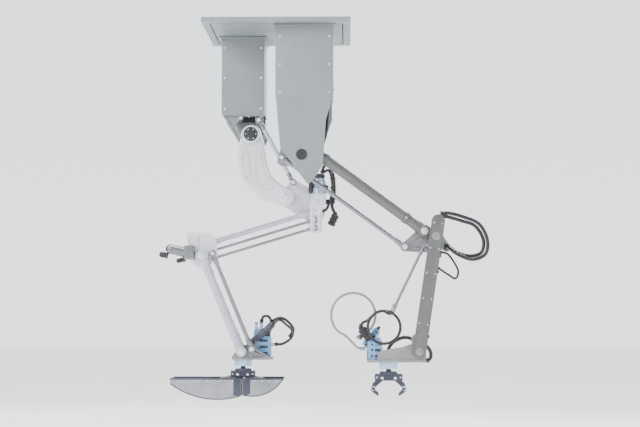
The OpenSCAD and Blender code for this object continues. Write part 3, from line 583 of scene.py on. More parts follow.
def dress_rear_shoulder():
    """Bearing housing, cover screws and the bracket's ribs and bolts."""
    x, z = rs
    s = Shape()
    s.lathe(mm(x, REAR_Y - 22, z), FRONT, [(31.5, 0), (31.5, 6), (29.5, 8.4), (23.5, 8.8), (22.8,
        7)], 56)
    s.make("rear_shoulder_housing", "zinc_steel", "rear_upper_arm")
    c = Shape()
    c.lathe(mm(x, REAR_Y - 30, z), FRONT, [(22.4, 0), (22.4, 2.6), (20.8, 4), (12.4, 4.6), (11.8,
        6.6), (4.2, 7), (3.6, 5.2)], 52)
    c.make("rear_shoulder_cover", "motor_black", "rear_upper_arm", ("rear_shoulder_cap",))
    b = Shape()
    b.screw_circle((x, REAR_Y - 30.6, z), FRONT, 8, 22.5, 26.6, 2.3, 2)
    b.screw_circle((x, REAR_Y - 34.4, z), FRONT, 6, 0, 16.6, 1.9, 1.6)
    b.make("rear_shoulder_screws", "zinc_steel", "rear_upper_arm")
    g = Shape()
    for k in range(6):
        h = z - 32 + 12 * k
        for left in (x - 41, x + 37):
            g.box((left, REAR_Y + 31, h), (left + 4, REAR_Y + 82, h + 4.5), 0.0012)
    g.lathe(mm(x, REAR_Y + 85, z), Y, [(19.6, 0), (19.6, 9), (18, 11.5), (6, 12), (5, 10.5)], 44)
    g.make("rear_gearbox_ribs", "gearbox_metal", "base")
    p = Shape()
    for dx, dz in ((-30, -30), (30, -30), (-30, 30), (30, 30)):
        p.screw(mm(x + dx, REAR_Y + 94, z + dz), Y, 5, 4)
    for px, pz in ((-172, -218), (-64, -218), (-172, -256), (-64, -256)):
        p.screw(mm(px, REAR_Y + 94, pz), Y, 5, 4)
    for px in (-172, -100, -62):
        p.screw(mm(px, REAR_Y - 42, -272), -UP, 4, 3.4)
    p.screw(mm(-125, REAR_Y - 56, -279), FRONT, 5.2, 3.6)
    p.screw(mm(-67, RA_ROD_Y - 9, -285), FRONT, 6.6, 4)
    p.nut(mm(-67, RA_ROD_Y + 16, -285), Y, 13, 6)
    p.make("rear_bracket_screws", "zinc_steel", "base")
    r = Shape()
    r.tube([mm(-177, REAR_Y - 51, -280), mm(-166, REAR_Y - 51, -287), mm(-134, REAR_Y - 51, -350)],
        0.0026, 10)
    r.tube([mm(-142, REAR_Y - 51, -300), mm(-119, REAR_Y - 51, -270)], 0.0026, 10)
    r.make("rear_gusset_welds", "grey_paint", "base")


# ---- shared arm details ----

def direction(p, q):
    d = mm(q[0], 0, q[1]) - mm(p[0], 0, p[1])
    return d.normalized()


def dress_rod(name, slot, body, p, q, y, r, ring_r, half):
    """Rod ends for a tie rod: ball races in the rings, shanks and lock nuts."""
    s = Shape()
    for a, b in ((p, q), (q, p)):
        d = direction(a, b)
        pin = mm(a[0], y, a[1])
        s.nut(pin + d * (ring_r + 1) / 1000, d, 2.55 * r, 1.1 * r)
        s.lathe(pin + d * (ring_r + 1 + 1.1 * r) / 1000, d, [(r * 1.28, 0), (r * 1.28, 2.2 * r),
            (r * 1.02, 3 * r)], 28)
        for side in (-1, 1):
            face = mm(a[0], y + side * (half - 0.2), a[1])
            s.lathe(face, (0, side, 0), [(ring_r - 0.7, 0), (ring_r - 0.9, 0.8), (ring_r - 2.2,
                1.1), (ring_r - 3, 0.5)], 36)
    s.make(name, slot, body)


def pin_heads(name, body, heads, nuts=()):
    """Hexagon-socket bolts on the front of the pivots, and nuts at the back."""
    s = Shape()
    for p, y, r in heads:
        s.screw(mm(p[0], y, p[1]), FRONT, r, 0.55 * r)
    for p, y, across in nuts:
        s.lathe(mm(p[0], y, p[1]), Y, [(across * 0.66, 0), (across * 0.66, 1.2)], 28)
        s.nut(mm(p[0], y + 1.2, p[1]), Y, across, 0.5 * across)
    s.make(name, "zinc_steel", body)


def strap_outline(p, rp, q, rq, n=22):
    """Points around two discs joined by tangents, in XZ millimetres."""
    d = Vector(q) - Vector(p)
    base = atan2(d.y, d.x)
    half = acos((rp - rq) / d.length)
    out = [(p[0] + rp * cos(a),
        p[1] + rp * sin(a)) for a in (base + half + (2 * pi - 2 * half) * k / n for k in range(n + 1))]
    out += [(q[0] + rq * cos(a),
        q[1] + rq * sin(a)) for a in (base - half + 2 * half * k / n for k in range(n + 1))]
    return out


# ---- front arm ----

def dress_front_upper():
    """Fairings where the tube enters its hubs, clamp collars and hub covers."""
    d = direction(fs, fe)
    root, tip = mm(fs[0], FA_Y, fs[1]), mm(fe[0], FA_Y, fe[1])
    s = Shape()
    s.lathe(root + d * 0.018, d, [(22, 0), (21.5, 8), (19.5, 18), (17.4, 26), (16.4, 34)], 44)
    s.lathe(tip - d * 0.013, -d, [(19, 0), (18.6, 6), (17.6, 13), (16.4, 22)], 44)
    for foot, way in ((tip - d * 0.062, -d), (root + d * 0.086, d)):
        s.lathe(foot, way, [(16.6, -0.6), (18.4, 0.6), (18.4, 13), (16.6, 14.2)], 44)
    for c, y, r in ((fs, FA_Y - 16, 25), (fe, FA_Y - 17, 18.5)):
        s.lathe(mm(c[0], y, c[1]), FRONT, [(r, 0), (r - 1.4, 1.2), (r - 5, 1.4)], 44)
    s.make("front_upper_collars", "arm_grey", "front_upper_arm")
    b = Shape()
    up = d.cross(Y).normalized()
    c = tip - d * 0.0692
    for out in (FRONT, up):
        b.screw(c + out * 0.0178, out, 3, 2.6)
    b.make("front_upper_screws", "zinc_steel", "front_upper_arm")
    off = Vector((-60, -48))
    dress_rod("front_rod_ends", "rod_steel", "front_upper_rod", fs + off, fe + off, FA_Y, 6.5, 11,
        6)
    pin_heads("front_elbow_bolts", "front_elbow", [(fe, FA_Y - 21.5, 8.4), (fe + off, FA_Y - 11,
        6.2)], [(fe, FRONT_Y - 18, 17), (fe + off, FRONT_Y - 18, 12)])
    pin_heads("front_root_bolt", "base", [(fs + off, FA_Y - 10, 6.6)])


def dress_front_elbow():
    """The elbow plate's raised rim, and the servo's fins, end cap, plug and gland."""
    x, z = ff
    s = Shape()
    for k in range(6):
        s.lathe(mm(x, FRONT_Y + 24 + 8 * k, z), Y, [(20, 0), (21.6, 0.5), (21.6, 3.5), (20, 4)], 44)
    s.lathe(mm(x, FRONT_Y + 75, z), Y, [(20, 0), (19.4, 3), (16.5, 5), (5, 5.6), (4, 4.6)], 44)
    s.lathe(mm(x, FRONT_Y + 52, z + 33), UP, [(7, 0), (7, 3), (5.6, 4), (5.6, 8)], 28)
    s.lathe(mm(x, FRONT_Y - 34, z), FRONT, [(14.6, 0), (14.6, 5), (12.8, 7), (12.4, 12)], 40)
    s.make("front_servo_fins", "motor_black", "front_elbow")
    b = Shape()
    b.screw_circle((x, FRONT_Y - 28, z), FRONT, 6, 30, 18, 2.6, 2.4)
    b.screw(mm(x + 36, FRONT_Y - 28, z - 32), FRONT, 3.6, 2)
    b.make("front_elbow_screws", "zinc_steel", "front_elbow")
    r = Shape()
    off = Vector((-60, -48))
    low = ff + Vector((-32, -34))
    for p, q in ((fe, fe + off), (fe + off, low), (low, ff), (fe, ff)):
        d = Vector(q) - Vector(p)
        u = d.normalized()
        a, c = p + u * 15, q - u * 13
        r.tube([mm(a.x, FRONT_Y - 28.4, a.y), mm(c.x, FRONT_Y - 28.4, c.y)], 0.0024, 12)
    r.make("front_elbow_ribs", "cast_grey", "front_elbow")
    g = Shape()
    for k in (0, 1):
        c = mm(x + 36, FRONT_Y - 28, z - 32 + 5.5 * k)
        g.lathe(c, FRONT, [(6.6, 0), (6.6, 2), (5.6, 3), (5.2, 6)], 24)
    g.make("elbow_hose_sockets", "black_plastic", "front_elbow")


def dress_forearm():
    """The forearm's front and back covers with a raised middle strip, its screws, pivot caps, clips and top
    fittings.
    """
    axis = (fw - ff).normalized()
    side = Vector((-axis.y, axis.x))
    top = ff - axis * 48
    face = FF_Y - 15
    s = Shape()
    s.prism(strap_outline(top, 16.4, fw, 16.4), face - 1.6, face + 0.5, 0.0006)
    s.prism(strap_outline(top + axis * 46, 9, fw - axis * 40, 9), face - 2.8, face, 0.0008)
    s.prism(strap_outline(top, 16.4, fw, 16.4), FF_Y + 14.5, FF_Y + 16.2, 0.0006)
    s.make("forearm_covers", "arm_grey", "front_forearm")
    c = Shape()
    for p, r, rise in ((fw, 11.6, 0.2), (ff, 12.6, 0)):
        c.lathe(at(p, face - 1.2), FRONT, [(r, 0), (r, 1.4 + rise), (r - 1.2, 2.4 + 2 * rise),
            (r - 6.5, 2.8 + 2 * rise), (r - 7.1, 1.9 + rise)], 40)
    c.make("forearm_pivot_caps", "cast_grey", "front_forearm")
    b = Shape()
    length = (fw - top).length
    for k in range(6):
        p = top + axis * (8 + k * (length - 16) / 5)
        for w in (-12.6, 12.6):
            q = p + side * w
            if min((q - ff).length, (q - fw).length) > 15:
                b.screw(mm(q.x, face - 1.6, q.y), FRONT, 2.1, 1.5)
    b.make("forearm_screws", "zinc_steel", "front_forearm")
    k = Shape()
    for t in (0.16, 0.3, 0.86):
        p = ff + axis * (355 * t)
        edge = p + side * 19
        k.box((edge.x - 2, FF_Y - 9, edge.y - 5), (edge.x + 5, FF_Y + 9, edge.y + 5), 0.0016)
    k.make("forearm_clips", "black_plastic", "front_forearm")
    f = Shape()
    p = top + side * 6
    tip = Vector((sin(radians(82)), 0, cos(radians(82))))
    for n in (0, 1):
        base = mm(p.x + 6, FF_Y + 14 * n, p.y + 20 - 5.5 * n)
        f.nut(base, tip, 13, 6)
        f.lathe(base + tip * 0.006, tip, [(5.8, 0), (6.3, 1), (6.3, 6), (5.4, 7), (5.4, 10)], 28)
    f.make("forearm_top_fittings", "black_plastic", "front_forearm", ("front_forearm_cap",))


def dress_air_pipe():
    """The stiff air pipe's clamp, elbow and end nut."""
    y = FF_Y + 8
    a, b = mm(451, y, -707), mm(356, y, -903)
    d = (b - a).normalized()
    s = Shape()
    s.nut(a + d * 0.008, d, 13, 7)
    s.lathe(a + d * 0.015, d, [(6, 0), (6, 7), (4.8, 10)], 24)
    s.nut(b - d * 0.024, d, 14.6, 8)
    s.lathe(b - d * 0.016, d, [(6.6, 0), (7.2, 1), (7.2, 14), (6, 16.4), (5, 17)], 28)
    s.lathe(mm(469, y, -700.6), (0.94, 0, 0.34), [(8, -8), (8.4, -7), (8.4, 3), (7.4, 4)], 28)
    s.make("air_pipe_nuts", "rod_steel", "front_forearm")


def push_fitting(body_shape, ring_shape, p, axis, length, r=5.5):
    """A push-in fitting: hexagon base, body and a release ring."""
    d = Vector(axis).normalized()
    body_shape.nut(Vector(p), d, 2.1 * r, length * 0.32)
    body_shape.lathe(Vector(p) + d * length * 0.00032, d, [(r * 0.92, 0), (r * 0.96, 0.6),
        (r * 0.96, length * 0.46)], 28)
    ring_shape.lathe(Vector(p) + d * length * 0.00078, d, [(r * 0.86, 0), (r * 1.06, 0.8),
        (r * 1.06, length * 0.16), (r * 0.78, length * 0.21)], 28)


def tool_rings(name, body, x, y, z):
    """The rotary unit's stepped rings below a wrist bracket, and its cap above."""
    s = Shape()
    s.lathe(mm(x, y, z - 8), -UP, [(29.4, 0), (29.4, 2.6), (28.2, 3.4), (28.2, 8), (27, 9), (28.2,
        10), (28.2, 17), (26.6, 19.6), (20, 20.2), (19, 18.8)], 56)
    s.lathe(mm(x, y, z), UP, [(18.6, 0), (18.6, 3), (17.4, 4.2), (17.4, 16), (18.4, 17), (18.4, 20),
        (15, 22.6), (6, 23)], 48)
    s.make(name, "pale_metal", body)


def slices(shape, x0, x1, y0, y1, pitch, height, bevel):
    """The three slices of a valve block."""
    for k in range(3):
        low = -1046 + pitch * k
        shape.box((x0, y0, low), (x1, y1, low + height), bevel)


def buttons(shape, x, window, y, z, pitch):
    """A round button and a dark window on the front of each valve slice."""
    for k in range(3):
        h = z + pitch * k
        shape.lathe(mm(x, y, h), FRONT, [(3.6, 0), (3.6, 1.6), (2.8, 2.2)], 24)
        shape.box((window[0], y - 1.2, h - 4), (window[1], y + 0.4, h + 4), 0.0006)


def dress_front_wrist():
    """Tool unit rings, bracket screws, valve details, fittings and the coil."""
    x, z = 345, -1050
    tool_rings("front_tool_rings", "front_wrist", x, FT_Y, z)
    b = Shape()
    b.screw_circle((x, FT_Y, z), UP, 6, 0, 24, 2.6, 2.2)
    for px, pz in ((fw[0] - 2, fw[1] - 14), (fw[0] - 30, -1040), (372, -1042), (fw[0] - 8, -986)):
        b.screw(mm(px, FF_Y + 27, pz), Y, 3.4, 2.6)
    for px in (296, 394, 430):
        for py in (FT_Y - 24, FT_Y + 24):
            b.screw(mm(px, py, z), UP, 3.2, 2.6)
    b.nut(at(fw, FF_Y + 27), Y, 17, 7)
    b.make("front_wrist_screws", "zinc_steel", "front_wrist")
    v = Shape()
    slices(v, 282, 326, FT_Y - 19, FT_Y + 13, 18, 14, 0.0016)
    v.box((287, FT_Y - 21, -1004), (321, FT_Y - 17, -996), 0.001)
    v.make("front_valve_slices", "light_blue", "front_wrist")
    c = Shape()
    buttons(c, 294, (303, 320), FT_Y - 19, -1039, 18)
    c.make("front_valve_buttons", "motor_black", "front_wrist")
    turn = Matrix.Rotation(radians(-40), 3, "Y")
    pin = mm(287, FT_Y - 3, -986)
    k = Shape()
    for h in (4, 13, 22, 31):
        k.box((287 - 14, FT_Y - 16, -986 + h), (287 + 14, FT_Y + 10, -986 + h + 5.5), 0.0012, turn,
            pin)
    k.lathe(pin + turn @ mm(0, 0, 39), turn @ UP, [(8, 0), (8, 3), (6.4, 5), (6.4, 9), (5, 10)], 28)
    k.lathe(pin + turn @ mm(-12, 0, 22), turn @ Vector((-1, 0, 0)), [(6, 0), (6, 4), (4.6, 6), (4.6,
        10)], 24)
    k.make("front_coil_ribs", "motor_black", "front_wrist")
    f, g = Shape(), Shape()
    for y in (-10, 3):
        push_fitting(f, g, mm(311, FT_Y + y, -984), UP, 14)
    push_fitting(f, g, mm(328, FT_Y + 23, -1050), UP, 20)
    push_fitting(f, g, mm(441, FT_Y + 22, -1050), UP, 16)
    push_fitting(f, g, mm(283, FT_Y - 4, -1016), (-1, 0, 0), 16)
    f.make("front_fitting_bodies", "pale_metal", "front_wrist")
    g.make("front_fitting_rings", "fitting_blue", "front_wrist", ("front_air_fittings",))
    r = Shape()
    ribs = [(fw + Vector((-14, 24)), Vector((338, -1030))), (fw + Vector((6, -20)), Vector((388,
        -1046)))]
    for p, q in ribs:
        r.tube([mm(p[0], FF_Y + 27.2, p[1]), mm(q[0], FF_Y + 27.2, q[1])], 0.0022, 12)
    r.make("front_bracket_ribs", "cast_grey", "front_wrist")


def wrist_cylinder(name, body, p, q, y, r, slot):
    """A small tilted air cylinder: ribbed barrel, end caps, tie rods and a port at each end."""
    d = direction(p, q)
    a = mm(p[0], y, p[1])
    h = (mm(q[0], y, q[1]) - a).length * 1000
    s = Shape()
    s.lathe(a, d, [(r * 0.7, -2), (r, 0), (r, 9), (r * 0.86, 10), (r * 0.86, h - 12), (r, h - 11),
        (r, h - 2), (r * 0.7, h)], 40)
    u = d.cross(Y).normalized()
    for k in range(4):
        e = (u if k % 2 else Y) * (1 if k < 2 else -1) * r * 0.00088
        s.tube([a + e + d * 0.004, a + e + d * (h - 5) / 1000], 0.0016, 8)
    s.make(name + "_barrel", slot, body)
    c = Shape()
    c.lathe(a + d * (h - 1) / 1000, d, [(r * 0.62, 0), (r * 0.62, 5), (r * 0.4, 6.4), (r * 0.4,
        12)], 28)
    for t in (0.005, h / 1000 - 0.007):
        c.lathe(a + d * t + FRONT * r * 0.00094, FRONT, [(3.4, 0), (3.4, 3), (2.6, 4.4)], 20)
    for t in (0.3, 0.62):
        c.lathe(a + d * h * t / 1000, d, [(r * 0.9, -3.4), (r * 0.97, -3), (r * 0.97, 3), (r * 0.9,
            3.4)], 36)
    c.make(name + "_bands", "motor_black", body)


def wrist_extras():
    """The air cylinders beside the valve blocks, and their short brackets."""
    wrist_cylinder("front_air_cylinder", "front_wrist", (272, -1008), (312, -958), FT_Y + 24, 11,
        "light_blue")
    wrist_cylinder("rear_air_cylinder", "rear_wrist", (-92, -1006), (-20, -944), RT_Y - 6, 10.5,
        "gripper_dark")
    for arm, lo, hi in (("front", (278, FT_Y + 10, -1052), (290, FT_Y + 32, -994)),
                        ("rear", (-84, RT_Y - 12, -1052), (-72, RT_Y + 8, -996))):
        s = Shape()
        s.box(lo, hi, 0.0014)
        s.make(arm + "_cylinder_bracket", "cast_grey", arm + "_wrist")
    s = Shape()
    s.tube(smooth([(-13, RT_Y - 6, -938), (-4, RT_Y - 6, -931), (8, RT_Y - 6, -934), (22, RT_Y - 4,
        -946), (38, RT_Y, -960), (40, RT_Y + 8, -972), (30, RT_Y + 18, -984)]), 0.0042)
    s.make("rear_cylinder_hose", "black_hose", "rear_wrist")


def dress_gripper(name, body, x, y, w, jaw_dx):
    """Slide rails, cover screws and a seal on a gripper's body."""
    z = -1086
    s = Shape()
    s.lathe(mm(x, y, z - 8), UP, [(27, 0), (27.2, 1.2), (27.2, 5.4), (25.6, 7), (10, 7.6)], 52)
    for k in range(3):
        for near, far in ((y - 20.8, y - 19), (y + 19, y + 20.8)):
            s.box((x - w / 2 - 0.8, near, z - 14 - 6 * k), (x + w / 2 + 0.8, far, z - 11 - 6 * k),
                0.0006)
    s.make(name + "_rails", "gripper_dark", body)
    b = Shape()
    for sx in (-1, 1):
        b.screw(mm(x + sx * (w / 2 - 6), y - 20.4, z - 18), FRONT, 2.4, 1.8)
        b.screw(mm(x + sx * jaw_dx, y - 20, z - 20), FRONT, 4.4, 2.2)
        b.nut(mm(x + sx * jaw_dx, y + 20, z - 20), Y, 9, 3)
    b.screw_circle((x, y, z - 0.6), UP, 4, 45, 20, 2.2, 1)
    b.make(name + "_screws", "zinc_steel", body)


def dress_jaws():
    """Ribbed rubber pads on the front fingers."""
    for side, body in ((-1, "front_jaw_left"), (1, "front_jaw_right")):
        p = Vector((345 + side * 20, -1106))
        a, b = p + Vector((side * 27, -36)), p + Vector((side * 13, -50))
        s = Shape()
        u = (b - a).normalized()
        n = Vector((-u.y, u.x)) * side
        if n.x * side > 0:
            n = -n
        for k in range(5):
            c = a + u * (3 + 3.6 * k) + n * 3.2
            s.tube([mm(c.x, FT_Y - 15.4, c.y), mm(c.x, FT_Y + 15.4, c.y)], 0.0016, 10)
        s.make(body + "_pad", "black_plastic", body)
        t = Shape()
        t.screw(mm(p.x + side * 26, FT_Y - 16, p.y - 27), FRONT, 2.6, 1.6)
        t.screw(mm(p.x + side * 29, FT_Y - 16, p.y - 38), FRONT, 2.2, 1.4)
        t.make(body + "_screws", "zinc_steel", body)


# ---- rear arm ----

def curve(points, steps=6):
    """A closed smooth outline through points in XZ."""
    n, out = len(points), []
    for i in range(n):
        a, b, c, d = (Vector(points[(i + k) % n]) for k in (-1, 0, 1, 2))
        out += [tuple(spline(a, b, c, d, k / steps)) for k in range(steps)]
    return out


def shrink(points, by):
    """An outline moved inwards by an even distance."""
    n, out = len(points), []
    area = sum(points[i][0] * points[(i + 1) % n][1] - points[(i + 1) % n][0] * points[i][1]
               for i in range(n))
    for i in range(n):
        d = (Vector(points[(i + 1) % n]) - Vector(points[i - 1])).normalized()
        inward = Vector((-d.y, d.x)) * (1 if area > 0 else -1)
        v = Vector(points[i]) + inward * by
        out.append((v.x, v.y))
    return out


def pillow(outline, y0, y1, edge, steps):
    """Rings of an outline with quarter-round edges, from y0 to y1."""
    rings = []
    for k in range(steps + 1):
        a = pi / 2 * k / steps
        rings.append((edge * (1 - sin(a)), y0 + edge * (1 - cos(a))))
    rings += [(o, y0 + y1 - y) for o, y in rings[::-1]]
    return [[mm(x, y, z) for x, z in (shrink(outline, o) if o > 0.01 else outline)] for o,
        y in rings]


def rear_casting():
    """The rear upper arm: a plump white casting with two root lobes and a sunk panel."""
    o = curve([(-94, -295), (-70, -304), (-60, -329), (-53, -356), (-47, -384), (-41, -414), (-33,
        -446), (-18, -472), (4, -492), (28, -503), (45, -516), (48.5, -534), (38, -554), (16, -561),
        (-14, -555), (-48, -545), (-72, -532), (-96, -507), (-118, -482), (-129, -458), (-136,
        -424), (-140.5, -389), (-136, -365), (-129, -346), (-128, -329), (-118, -305)])
    s = Shape()
    s.ring_stack(pillow(o, REAR_Y - 22, REAR_Y + 22, 10, 6))
    s.make("rear_arm_casting", "white_paint", "rear_upper_arm", ("rear_upper_arm",), 60)
    r = Shape()
    left = [(-112, -388), (-104, -396), (-101, -430), (-96, -458), (-100, -474), (-110, -470),
        (-119, -446), (-122, -412), (-120, -394)]
    right = [(-76, -388), (-66, -388), (-62, -404), (-56, -440), (-44, -468), (-22, -492), (-28,
        -508), (-46, -512), (-66, -496), (-76, -470), (-80, -436), (-80, -404)]
    for panel in (left, right):
        ring = curve(panel, 5)
        line = [mm(x, REAR_Y - 22.2, z) for x, z in ring + ring[:2]]
        r.tube(line, 0.0024, 10)
    r.lathe(mm(rk[0], REAR_Y - 22, rk[1]), FRONT, [(24, -2), (23.4, 1.6), (20, 3.2), (14, 3.6)], 44)
    r.make("rear_casting_ribs", "white_paint", "rear_upper_arm")
    b = Shape()
    for px, pz in ((-60, -452), (-96, -486), (-30, -518)):
        b.screw(mm(px - 18, REAR_Y - 22, pz + 8), FRONT, 3.4, 2.6)
    b.make("rear_casting_screws", "zinc_steel", "rear_upper_arm")
    off = Vector((27, 44))
    dress_rod("rear_upper_rod_ends", "rod_steel", "rear_upper_rod", rs + off, rk + off, RA_ROD_Y, 6,
        11, 6)


def dress_rear_rod():
    """A pale tapered sleeve over the rear shoulder's tie rod, clamped near both ends."""
    off = Vector((27, 44))
    a, b = rs + off, rk + off
    d = direction(a, b)
    length = (b - a).length
    s = Shape()
    s.lathe(at(a, RA_ROD_Y) + d * 0.026, d, [(5.4, 0), (6.6, 3), (6.6, 9), (7.6, 13), (7.6,
        length - 66), (6.6, length - 62), (6.6, length - 56), (5.4, length - 52)], 40)
    s.make("rear_rod_sleeve", "white_link", "rear_upper_rod")


def dress_knee():
    """The knee's clevis caps and boot, and its geared motor with bands and plugs."""
    x, z = rh
    mx, mz = x + 18, z + 56
    s = Shape()
    # The shell's blue tint, from pale_metal, is a painted bluish highlight.
    s.lathe(mm(mx, REAR_Y, mz), UP, [(24.6, 0), (24.6, 10), (24, 13), (22.6, 14), (22.6, 20), (21.6,
        21), (21.6, 31), (23, 32), (23, 48), (21.4, 51), (19, 53)], 52)
    s.make("knee_motor_shell", "pale_metal", "rear_knee", ("rear_knee_motor",))
    k = Shape()
    for h in (21.4, 25.4, 29):
        k.lathe(mm(mx, REAR_Y, mz + h), UP, [(21.4, 0), (22.8, 0.4), (22.8, 1.6), (21.4, 2)], 48)
    k.lathe(mm(mx, REAR_Y, mz + 53), UP, [(19, 0), (19.4, 2), (19.4, 9), (16, 13.6), (5, 14.6)], 44)
    k.box((mx - 35, REAR_Y - 15, mz + 4), (mx - 21, REAR_Y + 15, mz + 44), 0.003)
    for y in (-8, 8):
        k.lathe(mm(mx - 28, REAR_Y + y, mz + 43), UP, [(6, 0), (6, 4), (4.4, 6), (4.4, 10)], 24)
    k.box((mx + 19, REAR_Y - 8, mz + 6), (mx + 30, REAR_Y + 8, mz + 30), 0.002)
    k.make("knee_motor_bands", "motor_black", "rear_knee")
    b = Shape()
    b.screw_circle((mx, REAR_Y, mz + 13.6), UP, 6, 30, 21, 2, 1.6)
    for o, y, r in ((Vector((0, 0)), REAR_Y - 46, 6), (Vector((14, 30)), REAR_Y - 46, 5)):
        b.screw(mm(x + o.x, y, z + o.y), FRONT, r, 3.4)
    for n in range(4):
        b.screw(mm(x + 2 + 10 * n, REAR_Y - 40, z + 47), FRONT, 2.4, 2)
    b.screw(mm(rk[0], REAR_Y - 29, rk[1]), FRONT, 9, 4.6)
    b.screw(mm(rk[0] + 27, RA_ROD_Y - 12, rk[1] + 44), FRONT, 5.4, 3)
    for p in (rk, rk + Vector((27, 44)), rh, rh + Vector((3, -28)), rh + Vector((4, -54))):
        b.nut(mm(p[0], REAR_Y + 38, p[1]), Y, 13, 5)
    b.make("knee_screws", "zinc_steel", "rear_knee")
    g = Shape()
    for dx in (-4, 20):
        g.lathe(mm(x + dx, REAR_Y - 46, z - 66), FRONT, [(6.4, -1), (6.4, 1.4), (4.6, 2.6)], 28)
        g.tube([mm(x + dx, REAR_Y - 46, z - 8), mm(x + dx, REAR_Y - 46, z - 58)], 0.0032, 12)
    g.make("knee_prong_ribs", "white_paint", "rear_knee")
    boot = Shape()
    profile = []
    for n in range(7):
        profile += [(13.6 if n % 2 else 11.4, 6 * n), (13.6 if n % 2 else 11.4, 6 * n + 3.4)]
    turn = Matrix.Rotation(radians(205), 3, "Y")
    boot.lathe(mm(182, REAR_Y - 10, z - 10), turn @ UP, profile, 32)
    boot.box((149, REAR_Y - 21, z + 23), (169, REAR_Y + 1, z + 39), 0.002)
    boot.make("knee_boot", "black_plastic", "rear_knee")
    wrap = Shape()
    y = REAR_Y - 13
    wrap.tube(smooth([(142, y + 4, z + 128), (160, y - 9, z + 132), (170, y - 10, z + 100), (170,
        y - 10, z + 62), (162, y - 8, z + 30), (150, y, z + 6), (132, y + 6, z - 2)]), 0.0046)
    for h in (104, 74, 52):
        wrap.box((163, y - 15, z + h), (182, y + 8, z + h + 5), 0.0014)
    line = smooth([(170, REAR_Y - 14, z + 124), (174, REAR_Y - 14, z + 92), (175, REAR_Y - 14,
        z + 60), (171, REAR_Y - 12, z + 26)], 28)
    wrap.tube(line, 0.0086, 24, [1 if k // 2 % 2 else 0.84 for k in range(len(line))])
    wrap.make("knee_cable_second", "black_hose", "rear_knee")


def dress_rear_links():
    """Ball joints, nuts and shanks of the three parallel middle bars."""
    a, b = Vector((3, -28)), Vector((4, -54))
    dress_rod("rear_link_ends", "white_link", "rear_middle_link", rh, re, REAR_Y + 8, 8.5, 14, 11)
    dress_rod("rear_rod_ends_front", "rod_steel", "rear_middle_rod_front", rh + a, re + a,
        REAR_Y - 12, 4.5, 10, 6)
    dress_rod("rear_rod_ends_back", "rod_steel", "rear_middle_rod_back", rh + b, re + b,
        REAR_Y - 30, 4.5, 10, 6)
    dress_rod("rear_forearm_rod_ends", "rod_steel", "rear_forearm_rod", rf + Vector((34, 8)),
        rw + Vector((34, 8)), RF_Y, 6.5, 11, 7)


def dress_rear_elbow():
    """A domed cover with screws over the elbow block, and the worm servo's body."""
    o = [(-296, -651), (-224, -655), (-208, -678), (-199, -723), (-227, -757), (-261, -761), (-281,
        -741)]
    s = Shape()
    s.prism(o, REAR_Y - 55, REAR_Y - 51, 0.0018)
    s.prism([(-290, -662), (-256, -660), (-262, -700), (-276, -728)], REAR_Y - 59, REAR_Y - 54,
        0.0018)
    s.make("rear_elbow_cover", "white_paint", "rear_elbow")
    b = Shape()
    for px, out, pz in ((-284, 58, -668), (-262, 58, -666), (-272, 58, -716), (-232, 55, -748),
                        (-256, 55, -752)):
        b.screw(mm(px, REAR_Y - out, pz), FRONT, 3.2, 2.6)
    b.screw(at(rf, RF_Y - 21), FRONT, 8.6, 4.6)
    b.screw(at(rf + Vector((34, 8)), RF_Y - 8), FRONT, 5.6, 3)
    b.make("rear_elbow_screws", "zinc_steel", "rear_elbow")
    z = rf[1] + 12
    d = Matrix.Rotation(radians(-78), 3, "Y") @ UP
    root = mm(-302, RF_Y, z)
    m = Shape()
    m.lathe(root, d, [(16.4, 0), (16.4, 8), (15.2, 9), (15.2, 16), (16.2, 17), (16.2, 24), (15.2,
        25), (15.2, 40), (16.4, 41), (16.4, 52), (14.4, 55.4), (10, 56)], 44)
    m.box((-303.5, RF_Y - 19.5, z - 23.5), (-271, REAR_Y - 52, z + 21.5), 0.003)
    for k in range(4):
        m.box((-300 + 7 * k, RF_Y - 21, z - 19), (-296.5 + 7 * k, RF_Y - 18, z + 17), 0.001)
    m.make("rear_servo_body", "gearbox_metal", "rear_elbow", ("rear_elbow_servo",))
    n = Shape()
    n.lathe(root + d * 0.0565, d, [(9.6, 0), (9.6, 3), (8.4, 4.4)], 32)
    n.lathe(mm(-356, RF_Y, z - 11.5), d, [(10, 0), (10, 6), (8.6, 8), (9.4, 12), (9.4, 20), (8, 26),
        (6, 27.6)], 36)
    d2 = Matrix.Rotation(radians(-104), 3, "Y") @ UP
    n.lathe(mm(-300, RF_Y, z - 22), d2, [(8, 0), (8, 8), (6.6, 10), (7.4, 14), (7.4, 24), (6, 29)],
        32)
    n.make("rear_servo_seals", "black_plastic", "rear_elbow")


def dress_rear_forearm():
    """Hub fairings, end collars and covers of the rear forearm's tube."""
    d = direction(rf, rw)
    root, tip = at(rf, RF_Y), at(rw, RF_Y)
    s = Shape()
    s.lathe(root + d * 0.012, d, [(18.8, 0), (18.4, 7), (17, 14), (15.4, 22)], 44)
    s.lathe(tip - d * 0.011, -d, [(16.6, 0), (16.4, 6), (15.4, 14)], 44)
    for t in (0.052, 0.268):
        s.lathe(root + d * t, d, [(15.4, -0.5), (17, 0.6), (17, 12), (15.4, 13)], 44)
    for c, r in ((rf, 18.6), (rw, 15.6)):
        s.lathe(mm(c[0], RF_Y - 16, c[1]), FRONT, [(r, 0), (r - 1.2, 1.1), (r - 4, 1.2)], 44)
    s.make("rear_forearm_collars", "white_link", "rear_forearm")
    b = Shape()
    for t in (0.058, 0.274):
        b.screw(root + d * t + FRONT * 0.0165, FRONT, 2.8, 2.4)
    b.make("rear_forearm_screws", "zinc_steel", "rear_forearm")


